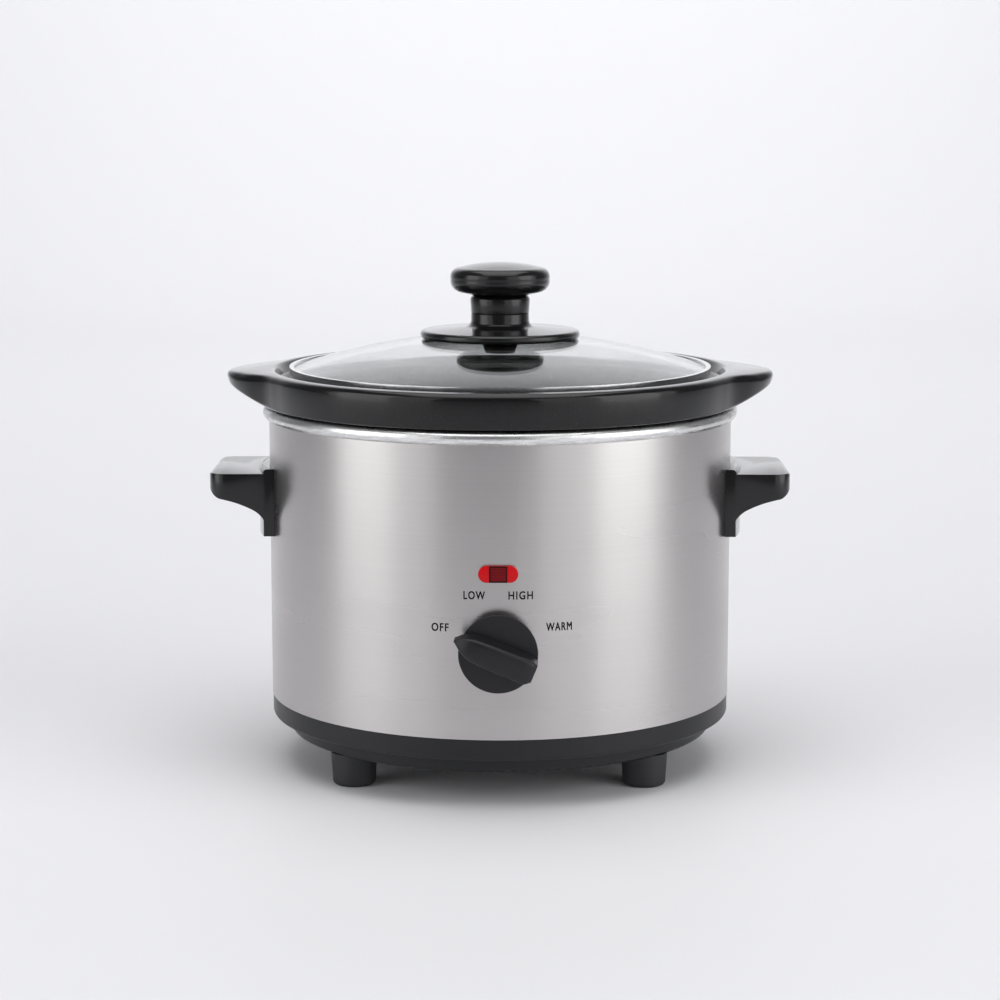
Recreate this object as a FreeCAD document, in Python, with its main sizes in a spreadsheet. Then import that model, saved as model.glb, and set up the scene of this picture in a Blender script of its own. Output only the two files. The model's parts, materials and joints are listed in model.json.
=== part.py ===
import FreeCAD, Part
import math
import os
import re

import Sketcher

# A 1.5 litre class round slow cooker with a lift-out stoneware crock.
# Frame: Z up, the origin on the worktop under the centre of the round housing, the dial facing -Y.
# Lengths are in millimetres.  Each tuple is a driving dimension: its name and its value.
DRIVING_SIZES = [
    # Housing
    ("shell_radius", 94.0),
    ("shell_wall", 0.5),
    ("shell_height", 115.6),
    ("seam_width", 7.0),
    ("foot_height", 13.2),
    ("foot_top_radius", 9.2),
    ("foot_tip_radius", 8.4),
    ("foot_edge", 1.6),
    ("foot_inset", 9.8),
    ("lower_band_height", 6.4),
    ("lower_band_inset", 7.0),
    ("upper_band_height", 8.4),
    ("upper_band_inset", 0.3),
    ("base_wall", 2.4),
    ("spigot_height", 5.0),
    ("fit_gap", 0.1),
    ("base_edge", 1.2),
    ("foot_boss_radius", 5.2),
    ("tie_boss_radius", 8.0),
    ("boss_rise", 1.6),
    ("vent_start", 34.0),
    ("vent_length", 20.0),
    ("vent_width", 3.0),
    ("foot_recess_radius", 4.2),
    ("foot_recess_roof", 6.5),
    ("foot_screw_head", 3.4),
    ("foot_screw_head_height", 2.2),
    # Liner, with its rolled rim
    ("liner_gap", 8.0),
    ("liner_wall", 0.6),
    ("liner_corner", 3.0),
    ("bead_radius", 2.8),
    ("bead_seat", 0.4),
    # Crock
    ("crock_clearance", 2.2),
    ("crock_wall", 5.6),
    ("crock_floor", 6.0),
    ("crock_taper", 3.4),
    ("crock_rim_overhang", 3.0),
    ("crock_rim_height", 14.2),
    ("crock_rim_top", 5.2),
    ("crock_rest_gap", 0.4),
    ("ledge_depth", 4.8),
    ("ear_reach", 14.8),
    ("ear_half_width", 28.0),
    ("ear_depth", 7.6),
    ("crock_inner_corner", 9.0),
    ("crock_outer_corner", 6.0),
    ("crock_rim_edge", 1.2),
    # Lid
    ("lid_play", 4.4),
    ("glass_thickness", 3.0),
    ("glass_rise", 14.1),
    ("lid_band_wall", 0.7),
    ("lid_band_width", 1.9),
    ("lid_seat_gap", 0.3),
    ("lid_screw_radius", 2.4),
    ("seal_thickness", 0.8),
    ("skirt_radius", 32.4),
    ("skirt_edge", 2.7),
    ("collar_radius", 11.8),
    ("collar_height", 7.6),
    ("grip_radius", 20.1),
    ("grip_height", 10.2),
    ("neck_height", 10.2),
    ("knob_dome", 2.1),
    ("skirt_blend", 3.2),
    ("knob_blend", 1.4),
    ("insert_radius", 4.2),
    ("seal_radius", 10.0),
    ("under_seal_radius", 7.6),
    ("washer_radius", 8.0),
    ("washer_thickness", 1.2),
    ("lid_screw_head", 4.6),
    ("lid_screw_head_height", 2.6),
    ("driver_slot_length", 4.8),
    ("driver_slot_width", 1.0),
    ("driver_slot_depth", 1.3),
    # Side handles
    ("handle_reach", 23.6),
    ("handle_corner_reach", 22.1),
    ("handle_half_width", 26.0),
    ("handle_top", 120.2),
    ("handle_drop", 25.3),
    ("handle_wall", 3.0),
    ("handle_nose", 2.6),
    ("handle_flange", 4.2),
    ("handle_rib", 1.9),
    ("handle_screw_offset", 13.0),
    ("handle_screw_drop", 8.6),
    ("screw_radius", 1.9),
    ("handle_corner", 7.0),
    ("handle_edge", 1.5),
    ("grip_boss_radius", 4.0),
    ("grip_boss_length", 12.0),
    ("plate_height", 14.0),
    ("plate_thickness", 1.2),
    ("plate_margin", 8.0),
    ("grip_screw_head", 3.3),
    ("grip_screw_head_height", 2.0),
    ("grip_screw_length", 9.0),
    # Dial, switch and lamp
    ("dial_height", 62.5),
    ("dial_radius", 15.1),
    ("dial_gap", 1.0),
    ("dial_thickness", 4.2),
    ("dial_recess", 2.4),
    ("pointer_depth", 10.0),
    ("pointer_reach", 17.8),
    ("pointer_half_width", 4.4),
    ("off_angle", 157.5),
    ("spindle_radius", 3.0),
    ("spindle_play", 0.05),
    ("switch_size", 25.0),
    ("switch_depth", 13.5),
    ("switch_headroom", 3.0),
    ("bush_radius", 4.9),
    ("lamp_height", 92.3),
    ("lamp_width", 15.2),
    ("lamp_tall", 6.4),
    ("lamp_proud", 1.3),
    ("lamp_lip", 1.0),
    ("lens_depth", 5.6),
    ("bulb_radius", 1.2),
    ("bulb_length", 7.0),
    ("resistor_radius", 1.1),
    ("resistor_length", 6.5),
    ("switch_nut_radius", 7.6),
    ("switch_nut_height", 1.9),
    ("tab_width", 4.8),
    ("tab_length", 8.6),
    ("tab_thickness", 0.8),
    # Heating and electrical
    ("heater_thickness", 1.4),
    ("heater_height", 22.0),
    ("heater_lift", 5.0),
    ("heater_opening", 46.0),
    ("tie_radius", 2.5),
    ("gland_height", 42.0),
    ("gland_bore", 3.3),
    ("gland_radius", 6.0),
    ("gland_length", 14.0),
    ("gland_barrel", 7.0),
    ("gland_lip", 1.4),
    ("gland_lip_width", 2.0),
    ("gland_chamber", 4.3),
    ("gland_chamber_end", 1.2),
    ("terminal_length", 26.0),
    ("terminal_width", 14.0),
    ("terminal_height", 11.0),
    ("terminal_screw_radius", 2.1),
    ("heater_strap_width", 3.0),
    ("fuse_radius", 2.2),
    ("fuse_length", 13.0),
    ("liner_strap_length", 64.0),
    ("liner_strap_width", 14.0),
    ("liner_strap_thickness", 1.5),
    ("strap_nut_radius", 4.8),
    ("strap_nut_height", 4.0),
    ("tie_nut_radius", 4.6),
    ("tie_nut_height", 3.0),
    ("tie_washer_radius", 7.0),
    ("tie_washer_thickness", 0.8),
    ("wire_radius", 1.1),
]
ALIASES = {alias for alias, number in DRIVING_SIZES}

# Heights and radii that follow from the driving dimensions.
LOWER_BAND_RADIUS = "(shell_radius - lower_band_inset)"
BASE_RADIUS = "(shell_radius - upper_band_inset)"
SHELL_INNER = "(shell_radius - shell_wall)"
STEP_HEIGHT = "(foot_height + lower_band_height)"
SHELL_BOTTOM = "(foot_height + lower_band_height + upper_band_height)"
SHELL_TOP = f"({SHELL_BOTTOM} + shell_height)"
FLOOR_TOP = "(foot_height + base_wall)"
FOOT_X = f"(({LOWER_BAND_RADIUS} - foot_inset) * 0.745)"
FOOT_Y = f"(({LOWER_BAND_RADIUS} - foot_inset) * 0.667)"
LINER_RADIUS = "(shell_radius - liner_gap)"
LINER_FLOOR = "(dial_height + switch_size / 2 + switch_headroom)"
LINER_INNER = f"({LINER_RADIUS} - liner_wall)"
BEAD_CENTRE = "(shell_radius - bead_seat)"
BEAD_HEIGHT = f"({SHELL_TOP} - 0.1)"
RIM_SEAT = f"({BEAD_HEIGHT} + bead_radius)"
CROCK_RADIUS = f"({LINER_INNER} - crock_clearance)"
CROCK_RIM = "(shell_radius + crock_rim_overhang)"
CROCK_UNDER_RIM = f"({RIM_SEAT} + crock_rest_gap)"
CROCK_TOP = f"({CROCK_UNDER_RIM} + crock_rim_height)"
CROCK_BOTTOM = f"({LINER_FLOOR} + liner_wall + crock_clearance)"
CROCK_INSIDE = f"({CROCK_RADIUS} - crock_wall)"
LEDGE = f"({CROCK_TOP} - ledge_depth)"
LEDGE_RADIUS = f"({CROCK_RIM} - crock_rim_top - 1.8)"
LID_RADIUS = f"({LEDGE_RADIUS} - lid_play - lid_band_wall)"
LID_BOTTOM = f"({LEDGE} + lid_seat_gap)"
GLASS_EDGE = f"({LID_BOTTOM} + lid_band_wall + glass_thickness * 1.06)"
GLASS_TOP = f"({GLASS_EDGE} + glass_rise)"
DOME_RADIUS = f"(({LID_RADIUS} * {LID_RADIUS} + glass_rise * glass_rise) / (2 * glass_rise))"
GLASS_UNDER = f"({GLASS_TOP} - glass_thickness)"
SKIRT_BOTTOM = f"({GLASS_TOP} + seal_thickness)"
SKIRT_EDGE_UNDER = f"({GLASS_TOP} - skirt_radius * skirt_radius / (2 * {DOME_RADIUS}) + 0.35)"
COLLAR_TOP = f"({SKIRT_BOTTOM} + collar_height)"
KNOB_BOTTOM = f"({COLLAR_TOP} + 0.15)"
GRIP_BOTTOM = f"({KNOB_BOTTOM} + neck_height)"
GRIP_TOP = f"({GRIP_BOTTOM} + grip_height - knob_dome)"
DIAL_BACK = "(shell_radius + dial_gap)"
DIAL_FRONT = f"({DIAL_BACK} + dial_thickness)"
SWITCH_FRONT = f"({SHELL_INNER} - 1.3)"
SWITCH_BACK = f"({SWITCH_FRONT} - switch_depth)"
HANDLE_BOTTOM = "(handle_top - handle_drop)"
HANDLE_SCREW_HEIGHT = "(handle_top - handle_screw_drop)"
HEATER_BOTTOM = f"({LINER_FLOOR} + heater_lift)"

DOC = FreeCAD.newDocument("SlowCooker")
SPEC = DOC.addObject("Spreadsheet::Sheet", "Spec")
PARTS = {}


# ---------------------------------------------------------------- helpers

def fill_sheet():
    """Write the driving dimensions into the sheet, one aliased cell each."""
    for row, (alias, number) in enumerate(DRIVING_SIZES, start=1):
        SPEC.set(f"A{row}", alias)
        SPEC.set(f"B{row}", str(number))
        SPEC.setAlias(f"B{row}", alias)
    DOC.recompute()


def bound(text):
    """Name the sheet before each alias, so that an expression reads its cell."""
    def with_sheet(match):
        word = match.group(0)
        return f"Spec.{word}" if word in ALIASES else word
    return re.sub(r"[a-z_]+", with_sheet, str(text))


def size(text):
    """The number that an expression gives now."""
    return float(SPEC.evalExpression(bound(text)))


def bind(thing, **properties):
    """Tie each property of a document object to its expression."""
    for name, text in properties.items():
        thing.setExpression(name, bound(text))


TURNS = {
    "z": FreeCAD.Rotation(),
    "x": FreeCAD.Rotation(FreeCAD.Vector(0, 1, 0), 90),
    "y": FreeCAD.Rotation(FreeCAD.Vector(1, 0, 0), -90),
}


def put(thing, place, axis="z"):
    """Turn an object's own Z to an axis and tie its place to three expressions."""
    thing.Placement = FreeCAD.Placement(FreeCAD.Vector(*[size(text) for text in place]), TURNS[axis])
    for letter, text in zip("xyz", place):
        thing.setExpression(f"Placement.Base.{letter}", bound(text))
    return thing


def rod(name, radius, length, place=("0", "0", "0"), axis="z"):
    """A round bar that starts at its place and runs along +axis."""
    bar = DOC.addObject("Part::Cylinder", name)
    bind(bar, Radius=radius, Height=length)
    return put(bar, place, axis)


def block(name, low, sides):
    """A box from its lowest corner and its three sides."""
    brick = DOC.addObject("Part::Box", name)
    bind(brick, Length=sides[0], Width=sides[1], Height=sides[2])
    return put(brick, low)


def hexagon(name, across, length, place, axis="z"):
    """A six-sided bar, given its width across the corners' circle."""
    prism = DOC.addObject("Part::Prism", name)
    prism.Polygon = 6
    bind(prism, Circumradius=across, Height=length)
    return put(prism, place, axis)


def cut(name, base, *tools):
    """The base with every tool taken away."""
    result = DOC.addObject("Part::Cut", name)
    result.Base = base
    result.Tool = tools[0] if len(tools) == 1 else fuse(name + "_tools", *tools)
    return result


def fuse(name, *pieces):
    """One solid from overlapping pieces."""
    result = DOC.addObject("Part::MultiFuse", name)
    result.Shapes = list(pieces)
    result.Refine = True
    return result


def common(name, *pieces):
    """What all the pieces share."""
    result = DOC.addObject("Part::MultiCommon", name)
    result.Shapes = list(pieces)
    return result


def group(name, pieces):
    """Separate solids kept as one sub-part."""
    result = DOC.addObject("Part::Compound", name)
    result.Links = list(pieces)
    return result


def mirrored(name, source):
    """The same piece on the other side of the YZ plane."""
    result = DOC.addObject("Part::Mirroring", name)
    result.Source = source
    result.Base = FreeCAD.Vector(0, 0, 0)
    result.Normal = FreeCAD.Vector(1, 0, 0)
    return result


def tube(name, outer, inner, length, place=("0", "0", "0"), axis="z"):
    """A round tube."""
    return cut(name, rod(name + "_outside", outer, length, place, axis),
               rod(name + "_bore", inner, length, place, axis))


def slot(name, width, height, depth, place):
    """A flat bar with round ends, lying along X, that runs along +Y from its place."""
    x, y, z = place
    half = f"(({width}) - ({height})) / 2"
    middle = block(name + "_middle", (f"{x} - {half}", y, f"{z} - ({height}) / 2"),
                   (f"2 * {half}", depth, height))
    ends = [rod(name + f"_end_{tag}", f"({height}) / 2", depth, (f"{x} {sign} {half}", y, z), "y")
            for tag, sign in (("left", "-"), ("right", "+"))]
    return fuse(name, middle, *ends)


def origin_plane(body, role):
    """One of a body's own origin planes."""
    return next(item for item in body.Origin.OriginFeatures if item.Role == role)


def hold(sketch, element, point, place):
    """Dimension a sketch vertex from the sketch's origin."""
    for kind, text, axis in (("DistanceX", place[0], -2), ("DistanceY", place[1], -1)):
        if str(text) == "0":
            sketch.addConstraint(Sketcher.Constraint("PointOnObject", element, point, axis))
            continue
        number = sketch.addConstraint(
            Sketcher.Constraint(kind, -1, 1, element, point, size(text)))
        sketch.setExpression(f"Constraints[{number}]", bound(text))


def outline(sketch, points):
    """Close a sketch through the points.  A point's third item is where an arc to the next one passes."""
    vectors = [FreeCAD.Vector(size(point[0]), size(point[1]), 0) for point in points]
    count = len(points)
    for index, point in enumerate(points):
        start, end = vectors[index], vectors[(index + 1) % count]
        if len(point) == 3:
            middle = FreeCAD.Vector(size(point[2][0]), size(point[2][1]), 0)
            sketch.addGeometry(Part.Arc(start, middle, end), False)
        else:
            sketch.addGeometry(Part.LineSegment(start, end), False)
    backwards = []
    for index, point in enumerate(points):
        first = sketch.getPoint(index, 1)
        backwards.append(first.distanceToPoint(vectors[index]) > 1e-6)
    for index in range(count):
        following = (index + 1) % count
        end = 1 if backwards[index] else 2
        begin = 2 if backwards[following] else 1
        sketch.addConstraint(Sketcher.Constraint("Coincident", index, end, following, begin))
    for index, point in enumerate(points):
        hold(sketch, index, 2 if backwards[index] else 1, point)
        if len(point) == 3:
            number = sketch.addGeometry(
                Part.Point(FreeCAD.Vector(size(point[2][0]), size(point[2][1]), 0)), True)
            hold(sketch, number, 1, point[2])
            sketch.addConstraint(Sketcher.Constraint("PointOnObject", number, 1, index))


def sketched(body, plane, points):
    """A closed sketch on one of the body's origin planes."""
    sketch = body.newObject("Sketcher::SketchObject", f"{body.Name}_sketch")
    sketch.AttachmentSupport = [(origin_plane(body, plane), "")]
    sketch.MapMode = "FlatFace"
    outline(sketch, points)
    return sketch


def turned(name, points):
    """A body turned about Z from a closed profile of radius and height."""
    body = DOC.addObject("PartDesign::Body", name)
    sketch = sketched(body, "XZ_Plane", points)
    turn = body.newObject("PartDesign::Revolution", name + "_turn")
    turn.Profile = sketch
    turn.ReferenceAxis = (sketch, ["V_Axis"])
    turn.Angle = 360
    DOC.recompute()
    return body


def padded(name, plane, points, length, midplane=False, reverse=False):
    """A body padded from a closed sketch."""
    body = DOC.addObject("PartDesign::Body", name)
    sketch = sketched(body, plane, points)
    pad = body.newObject("PartDesign::Pad", name + "_pad")
    pad.Profile = sketch
    pad.Midplane = midplane
    pad.Reversed = reverse
    bind(pad, Length=length)
    DOC.recompute()
    return body


def ring_edge(shape, radius, height):
    """The name of the round edge about Z that has this radius and height."""
    wanted = (size(radius), size(height))
    best, found = 0.02, None
    for index, edge in enumerate(shape.Edges, start=1):
        if edge.Degenerated or not isinstance(edge.Curve, Part.Circle):
            continue
        curve = edge.Curve
        gap = max(abs(curve.Radius - wanted[0]), abs(curve.Center.z - wanted[1]))
        if gap < best and math.hypot(curve.Center.x, curve.Center.y) < 0.01:
            best, found = gap, f"Edge{index}"
    if found is None:
        raise ValueError(f"no round edge at radius {wanted[0]}, height {wanted[1]}")
    return found


def round_rings(body, radius, *corners):
    """Round a turned body's corners, given as radius and height."""
    base = body.Tip
    names = [ring_edge(base.Shape, *corner) for corner in corners]
    fillet = body.newObject("PartDesign::Fillet", f"{body.Name}_round")
    fillet.Base = (base, names)
    bind(fillet, Radius=radius)
    body.Tip = fillet
    DOC.recompute()


def round_upright(body, radius, x_value, y_values):
    """Round a padded body's upright corners, given where they stand in plan."""
    base = body.Tip
    names = []
    for index, edge in enumerate(base.Shape.Edges, start=1):
        ends = [vertex.Point for vertex in edge.Vertexes]
        upright = len(ends) == 2 and abs(ends[0].x - ends[1].x) + abs(ends[0].y - ends[1].y) < 1e-6
        at_corner = upright and abs(ends[0].x - size(x_value)) < 0.02
        if at_corner and any(abs(ends[0].y - size(y_value)) < 0.02 for y_value in y_values):
            names.append(f"Edge{index}")
    if len(names) != len(y_values):
        raise ValueError(f"{body.Name}: found {len(names)} upright corners")
    fillet = body.newObject("PartDesign::Fillet", f"{body.Name}_corners")
    fillet.Base = (base, names)
    bind(fillet, Radius=radius)
    body.Tip = fillet
    DOC.recompute()


def part(name, thing):
    """Register a finished sub-part under its node name."""
    thing.Label = name
    PARTS[name] = thing
    return thing


# ---------------------------------------------------------------- lid

def make_glass():
    """Domed glass: two spheres' shell trimmed to the lid's radius, with the knob screw's hole."""
    spheres = []
    for tag, radius in (("outer", DOME_RADIUS), ("inner", f"{DOME_RADIUS} - glass_thickness")):
        ball = DOC.addObject("Part::Sphere", f"dome_{tag}")
        bind(ball, Radius=radius)
        spheres.append(put(ball, ("0", "0", f"{GLASS_TOP} - {DOME_RADIUS}")))
    column = rod("dome_trim", LID_RADIUS, "glass_rise + 4 * glass_thickness",
                 ("0", "0", f"{GLASS_EDGE} - 3 * glass_thickness"))
    cap = common("dome_cap", cut("dome_skin", *spheres), column)
    hole = rod("dome_hole", "lid_screw_radius + 1", "4 * glass_thickness",
               ("0", "0", f"{GLASS_UNDER} - glass_thickness"))
    part("glass_lid", cut("glass", cap, hole))


def make_lid_band():
    """Rolled steel channel that grips the glass edge."""
    rise = f"lid_band_width * {LID_RADIUS} / {DOME_RADIUS}"
    outside = f"{LID_RADIUS} + lid_band_wall"
    channel = tube("band_blank", outside, f"{outside} - lid_band_width",
                   f"lid_band_wall * 2 + glass_thickness * 1.06 + {rise}", ("0", "0", LID_BOTTOM))
    part("lid_rim_band", cut("lid_band", channel, PARTS["glass_lid"]))


def make_lid_fittings():
    """Skirt, knob, insert, screw, washer and seals, all turned about the lid's centre."""
    skirt = turned("skirt", [
        ("lid_screw_radius + 0.6", SKIRT_BOTTOM),
        ("collar_radius", SKIRT_BOTTOM),
        ("skirt_radius - 2", SKIRT_EDGE_UNDER),
        ("skirt_radius - skirt_edge / 2", SKIRT_EDGE_UNDER,
         ("skirt_radius", f"{SKIRT_EDGE_UNDER} + skirt_edge / 2")),
        ("skirt_radius - skirt_edge / 2", f"{SKIRT_EDGE_UNDER} + skirt_edge"),
        ("collar_radius", f"{SKIRT_BOTTOM} + 2.1"),
        ("collar_radius", COLLAR_TOP),
        ("lid_screw_radius + 0.6", COLLAR_TOP),
    ])
    round_rings(skirt, "skirt_blend", ("collar_radius", f"{SKIRT_BOTTOM} + 2.1"))
    part("knob_skirt", skirt)

    crown = "(grip_radius - 3.4)"
    crown_ball = f"(({crown} * {crown} + knob_dome * knob_dome) / (2 * knob_dome))"
    crown_centre = f"({GRIP_TOP} + knob_dome - {crown_ball})"
    knob = turned("grip", [
        ("0", f"{GRIP_BOTTOM} + 1.5"),
        ("insert_radius", f"{GRIP_BOTTOM} + 1.5"),
        ("insert_radius", KNOB_BOTTOM),
        ("collar_radius", KNOB_BOTTOM),
        ("collar_radius + 0.5", GRIP_BOTTOM),
        ("grip_radius - 4.2", f"{GRIP_BOTTOM} + 0.2",
         ("grip_radius - 1.0", f"{GRIP_BOTTOM} + 1.8")),
        ("grip_radius", f"({GRIP_BOTTOM} + {GRIP_TOP}) / 2 + 0.4",
         ("grip_radius - 0.8", f"{GRIP_TOP} - 1.3")),
        (crown, GRIP_TOP,
         (f"{crown} / 2",
          f"{crown_centre} + sqrt({crown_ball} * {crown_ball} - {crown} * {crown} / 4)")),
        ("0", f"{GRIP_TOP} + knob_dome"),
    ])
    round_rings(knob, "knob_blend", ("collar_radius + 0.5", GRIP_BOTTOM))
    part("lid_knob", knob)

    part("knob_insert", tube("insert", "insert_radius", "lid_screw_radius", "neck_height",
                             ("0", "0", KNOB_BOTTOM)))
    washer_top = f"({GLASS_UNDER} - seal_thickness)"
    head_bottom = f"({washer_top} - washer_thickness - lid_screw_head_height)"
    bore = "lid_screw_radius + 0.6"
    seals = [tube("seal_above", "seal_radius", bore, "seal_thickness", ("0", "0", GLASS_TOP)),
             tube("seal_below", "under_seal_radius", bore, "seal_thickness - 0.3", ("0", "0", washer_top))]
    part("lid_seals", group("seals", seals))
    part("lid_washer", tube("washer", "washer_radius", "lid_screw_radius + 0.3", "washer_thickness",
                            ("0", "0", f"{washer_top} - washer_thickness")))
    shank = rod("screw_shank", "lid_screw_radius - 0.05",
                f"{GRIP_BOTTOM} - {head_bottom} - lid_screw_head_height",
                ("0", "0", f"{head_bottom} + lid_screw_head_height - 0.1"))
    head = rod("screw_head", "lid_screw_head", "lid_screw_head_height", ("0", "0", head_bottom))
    long, narrow = "driver_slot_length", "driver_slot_width"
    cross = [block(f"cross_{tag}", (f"-1 * {across} / 2", f"-1 * {along} / 2", f"{head_bottom} - 0.1"),
                   (across, along, "driver_slot_depth + 0.1"))
             for tag, across, along in (("x", long, narrow), ("y", narrow, long))]
    part("lid_screw", cut("screw", fuse("screw_blank", shank, head), *cross))


# ---------------------------------------------------------------- crock

def ear_blank(name, side):
    """One lug in plan: a round tip, straight shoulders and a hollow flare into the rim."""
    def across(text):
        return f"{side} ({text})"
    inside = across(f"{CROCK_RADIUS} * 0.9")
    root = across(f"sqrt({CROCK_RIM} * {CROCK_RIM} - 2.25 * ear_half_width * ear_half_width)")
    flare = across(f"{CROCK_RIM} * 0.9465")
    waist = across(f"{CROCK_RIM} - ear_reach * 0.07")
    shoulder = across(f"{CROCK_RIM} + ear_reach * 0.68")
    plan = [
        (inside, "-1.5 * ear_half_width"),
        (root, "-1.5 * ear_half_width", (flare, "-1.23 * ear_half_width")),
        (waist, "-1 * ear_half_width"),
        (shoulder, "-0.46 * ear_half_width", (across(f"{CROCK_RIM} + ear_reach"), "0")),
        (shoulder, "0.46 * ear_half_width"),
        (waist, "ear_half_width", (flare, "1.23 * ear_half_width")),
        (root, "1.5 * ear_half_width"),
        (inside, "1.5 * ear_half_width"),
    ]
    plate = padded(name + "_plan", "XY_Plane", plan, "crock_rim_height")
    return put(plate, ("0", "0", CROCK_UNDER_RIM))


def make_crock():
    """Stoneware pot: bowl, thick rim with the lid's ledge, and the two lugs."""
    inner_top = CROCK_INSIDE
    bowl = turned("bowl", [
        ("0", CROCK_BOTTOM),
        (f"{CROCK_RADIUS} - crock_taper", CROCK_BOTTOM),
        (CROCK_RADIUS, f"{CROCK_UNDER_RIM} - 6"),
        (CROCK_RADIUS, CROCK_UNDER_RIM),
        (f"{CROCK_RIM} - 1", CROCK_UNDER_RIM),
        (CROCK_RIM, f"{CROCK_TOP} - 5"),
        (f"{CROCK_RIM} - 0.2", CROCK_TOP),
        (f"{CROCK_RIM} - crock_rim_top", f"{CROCK_TOP} - 0.6"),
        (LEDGE_RADIUS, LEDGE),
        (f"{inner_top} + 1.2", f"{LEDGE} - 0.3"),
        (inner_top, f"{LEDGE} - 2.5"),
        (f"{inner_top} - crock_taper", f"{CROCK_BOTTOM} + crock_floor"),
        ("0", f"{CROCK_BOTTOM} + crock_floor"),
    ])
    round_rings(bowl, "crock_inner_corner", (f"{inner_top} - crock_taper", f"{CROCK_BOTTOM} + crock_floor"))
    round_rings(bowl, "crock_outer_corner", (f"{CROCK_RADIUS} - crock_taper", CROCK_BOTTOM))
    round_rings(bowl, "crock_rim_edge", (f"{CROCK_RIM} - crock_rim_top", f"{CROCK_TOP} - 0.6"),
                (f"{CROCK_RIM} - 1", CROCK_UNDER_RIM))

    # The lugs are trimmed to the rim's top, and their undersides rise to the tip.
    wedge_profile = [
        (f"{CROCK_RIM} - 0.8", f"{CROCK_UNDER_RIM} - 1"),
        (f"{CROCK_RIM} + ear_reach + 3", f"{CROCK_UNDER_RIM} - 1"),
        (f"{CROCK_RIM} + ear_reach + 3", f"{CROCK_TOP} - ear_depth + 0.8"),
        (f"{CROCK_RIM} + ear_reach * 0.82", f"{CROCK_TOP} - ear_depth - 0.3"),
        (f"{CROCK_RIM} + ear_reach * 0.25", f"{CROCK_UNDER_RIM} + 2.2"),
        (f"{CROCK_RIM} - 0.8", f"{CROCK_UNDER_RIM} + 0.3"),
    ]
    under = turned("ear_underside", wedge_profile)
    bore = rod("ear_bore", f"{CROCK_RIM} - 2.6", "3 * crock_rim_height",
               ("0", "0", f"{CROCK_UNDER_RIM} - crock_rim_height"))
    top_trim = turned("ear_top_trim", [
        (f"{CROCK_RIM} - 3", f"{CROCK_TOP} + 2"),
        (f"{CROCK_RIM} - 3", f"{CROCK_TOP} - 0.05"),
        (f"{CROCK_RIM} + ear_reach + 3", f"{CROCK_TOP} - 1.7"),
        (f"{CROCK_RIM} + ear_reach + 3", f"{CROCK_TOP} + 2"),
    ])
    lugs = [cut(f"ear_{tag}", ear_blank(f"ear_{tag}", side), under, bore, top_trim)
            for tag, side in (("left", "-1 *"), ("right", "1 *"))]
    part("stoneware_crock", fuse("crock", bowl, *lugs))


# ---------------------------------------------------------------- housing shells

def make_shell():
    """Rolled steel jacket with its rear lock seam and the holes for what is fixed to it."""
    jacket = tube("jacket", "shell_radius", SHELL_INNER, "shell_height", ("0", "0", SHELL_BOTTOM))
    seam = block("seam", ("-seam_width / 2", f"{SHELL_INNER} - 0.75", f"{SHELL_BOTTOM} + spigot_height + 10"),
                 ("seam_width", "0.9", "shell_height - spigot_height - 14"))
    seam_limit = rod("seam_limit", f"{SHELL_INNER} + 0.2", "shell_height", ("0", "0", SHELL_BOTTOM))
    seam_clear = common("seam_inside", seam, seam_limit)
    depth = "6 * shell_wall + 4"
    front = "-1 * (shell_radius + 1)"
    holes = [
        slot("lamp_hole", "lamp_width - 2 * lamp_lip", "lamp_tall - 2 * lamp_lip", depth,
             ("0", front, "lamp_height")),
        rod("bush_hole", "bush_radius + fit_gap", depth, ("0", front, "dial_height"), "y"),
        rod("gland_hole", "gland_radius + fit_gap", depth, ("0", "shell_radius - 4", "gland_height"), "y"),
    ]
    for tag, sign in (("front", "-1 *"), ("rear", "1 *")):
        holes.append(rod(f"handle_hole_{tag}", "screw_radius + 0.2", "2 * shell_radius + 4",
                         ("-1 * shell_radius - 2", f"{sign} handle_screw_offset", HANDLE_SCREW_HEIGHT), "x"))
    part("outer_shell", cut("shell", fuse("shell_blank", jacket, seam_clear), *holes))


def make_liner():
    """Pressed steel well whose rim rolls over the jacket's top edge."""
    wall = "liner_wall"
    inner_bead = f"(bead_radius - {wall})"
    liner = turned("liner", [
        ("0", LINER_FLOOR),
        (f"{LINER_RADIUS} - liner_corner", LINER_FLOOR,
         (f"{LINER_RADIUS} - liner_corner * 0.293", f"{LINER_FLOOR} + liner_corner * 0.293")),
        (LINER_RADIUS, f"{LINER_FLOOR} + liner_corner"),
        (LINER_RADIUS, f"{RIM_SEAT} - {wall}"),
        (BEAD_CENTRE, f"{RIM_SEAT} - {wall}",
         (f"{BEAD_CENTRE} + {inner_bead} * 0.966", f"{BEAD_HEIGHT} + {inner_bead} * 0.259")),
        (f"{BEAD_CENTRE} + {inner_bead} * 0.5", f"{BEAD_HEIGHT} - {inner_bead} * 0.866"),
        (f"{BEAD_CENTRE} + bead_radius * 0.5", f"{BEAD_HEIGHT} - bead_radius * 0.866",
         (f"{BEAD_CENTRE} + bead_radius * 0.966", f"{BEAD_HEIGHT} + bead_radius * 0.259")),
        (BEAD_CENTRE, RIM_SEAT),
        (LINER_INNER, RIM_SEAT),
        (LINER_INNER, f"{LINER_FLOOR} + liner_corner",
         (f"{LINER_RADIUS} - liner_corner * 0.293 - {wall} * 0.707",
          f"{LINER_FLOOR} + liner_corner * 0.293 + {wall} * 0.707")),
        (f"{LINER_RADIUS} - liner_corner", f"{LINER_FLOOR} + {wall}"),
        ("0", f"{LINER_FLOOR} + {wall}"),
    ])
    part("heating_liner", liner)


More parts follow.
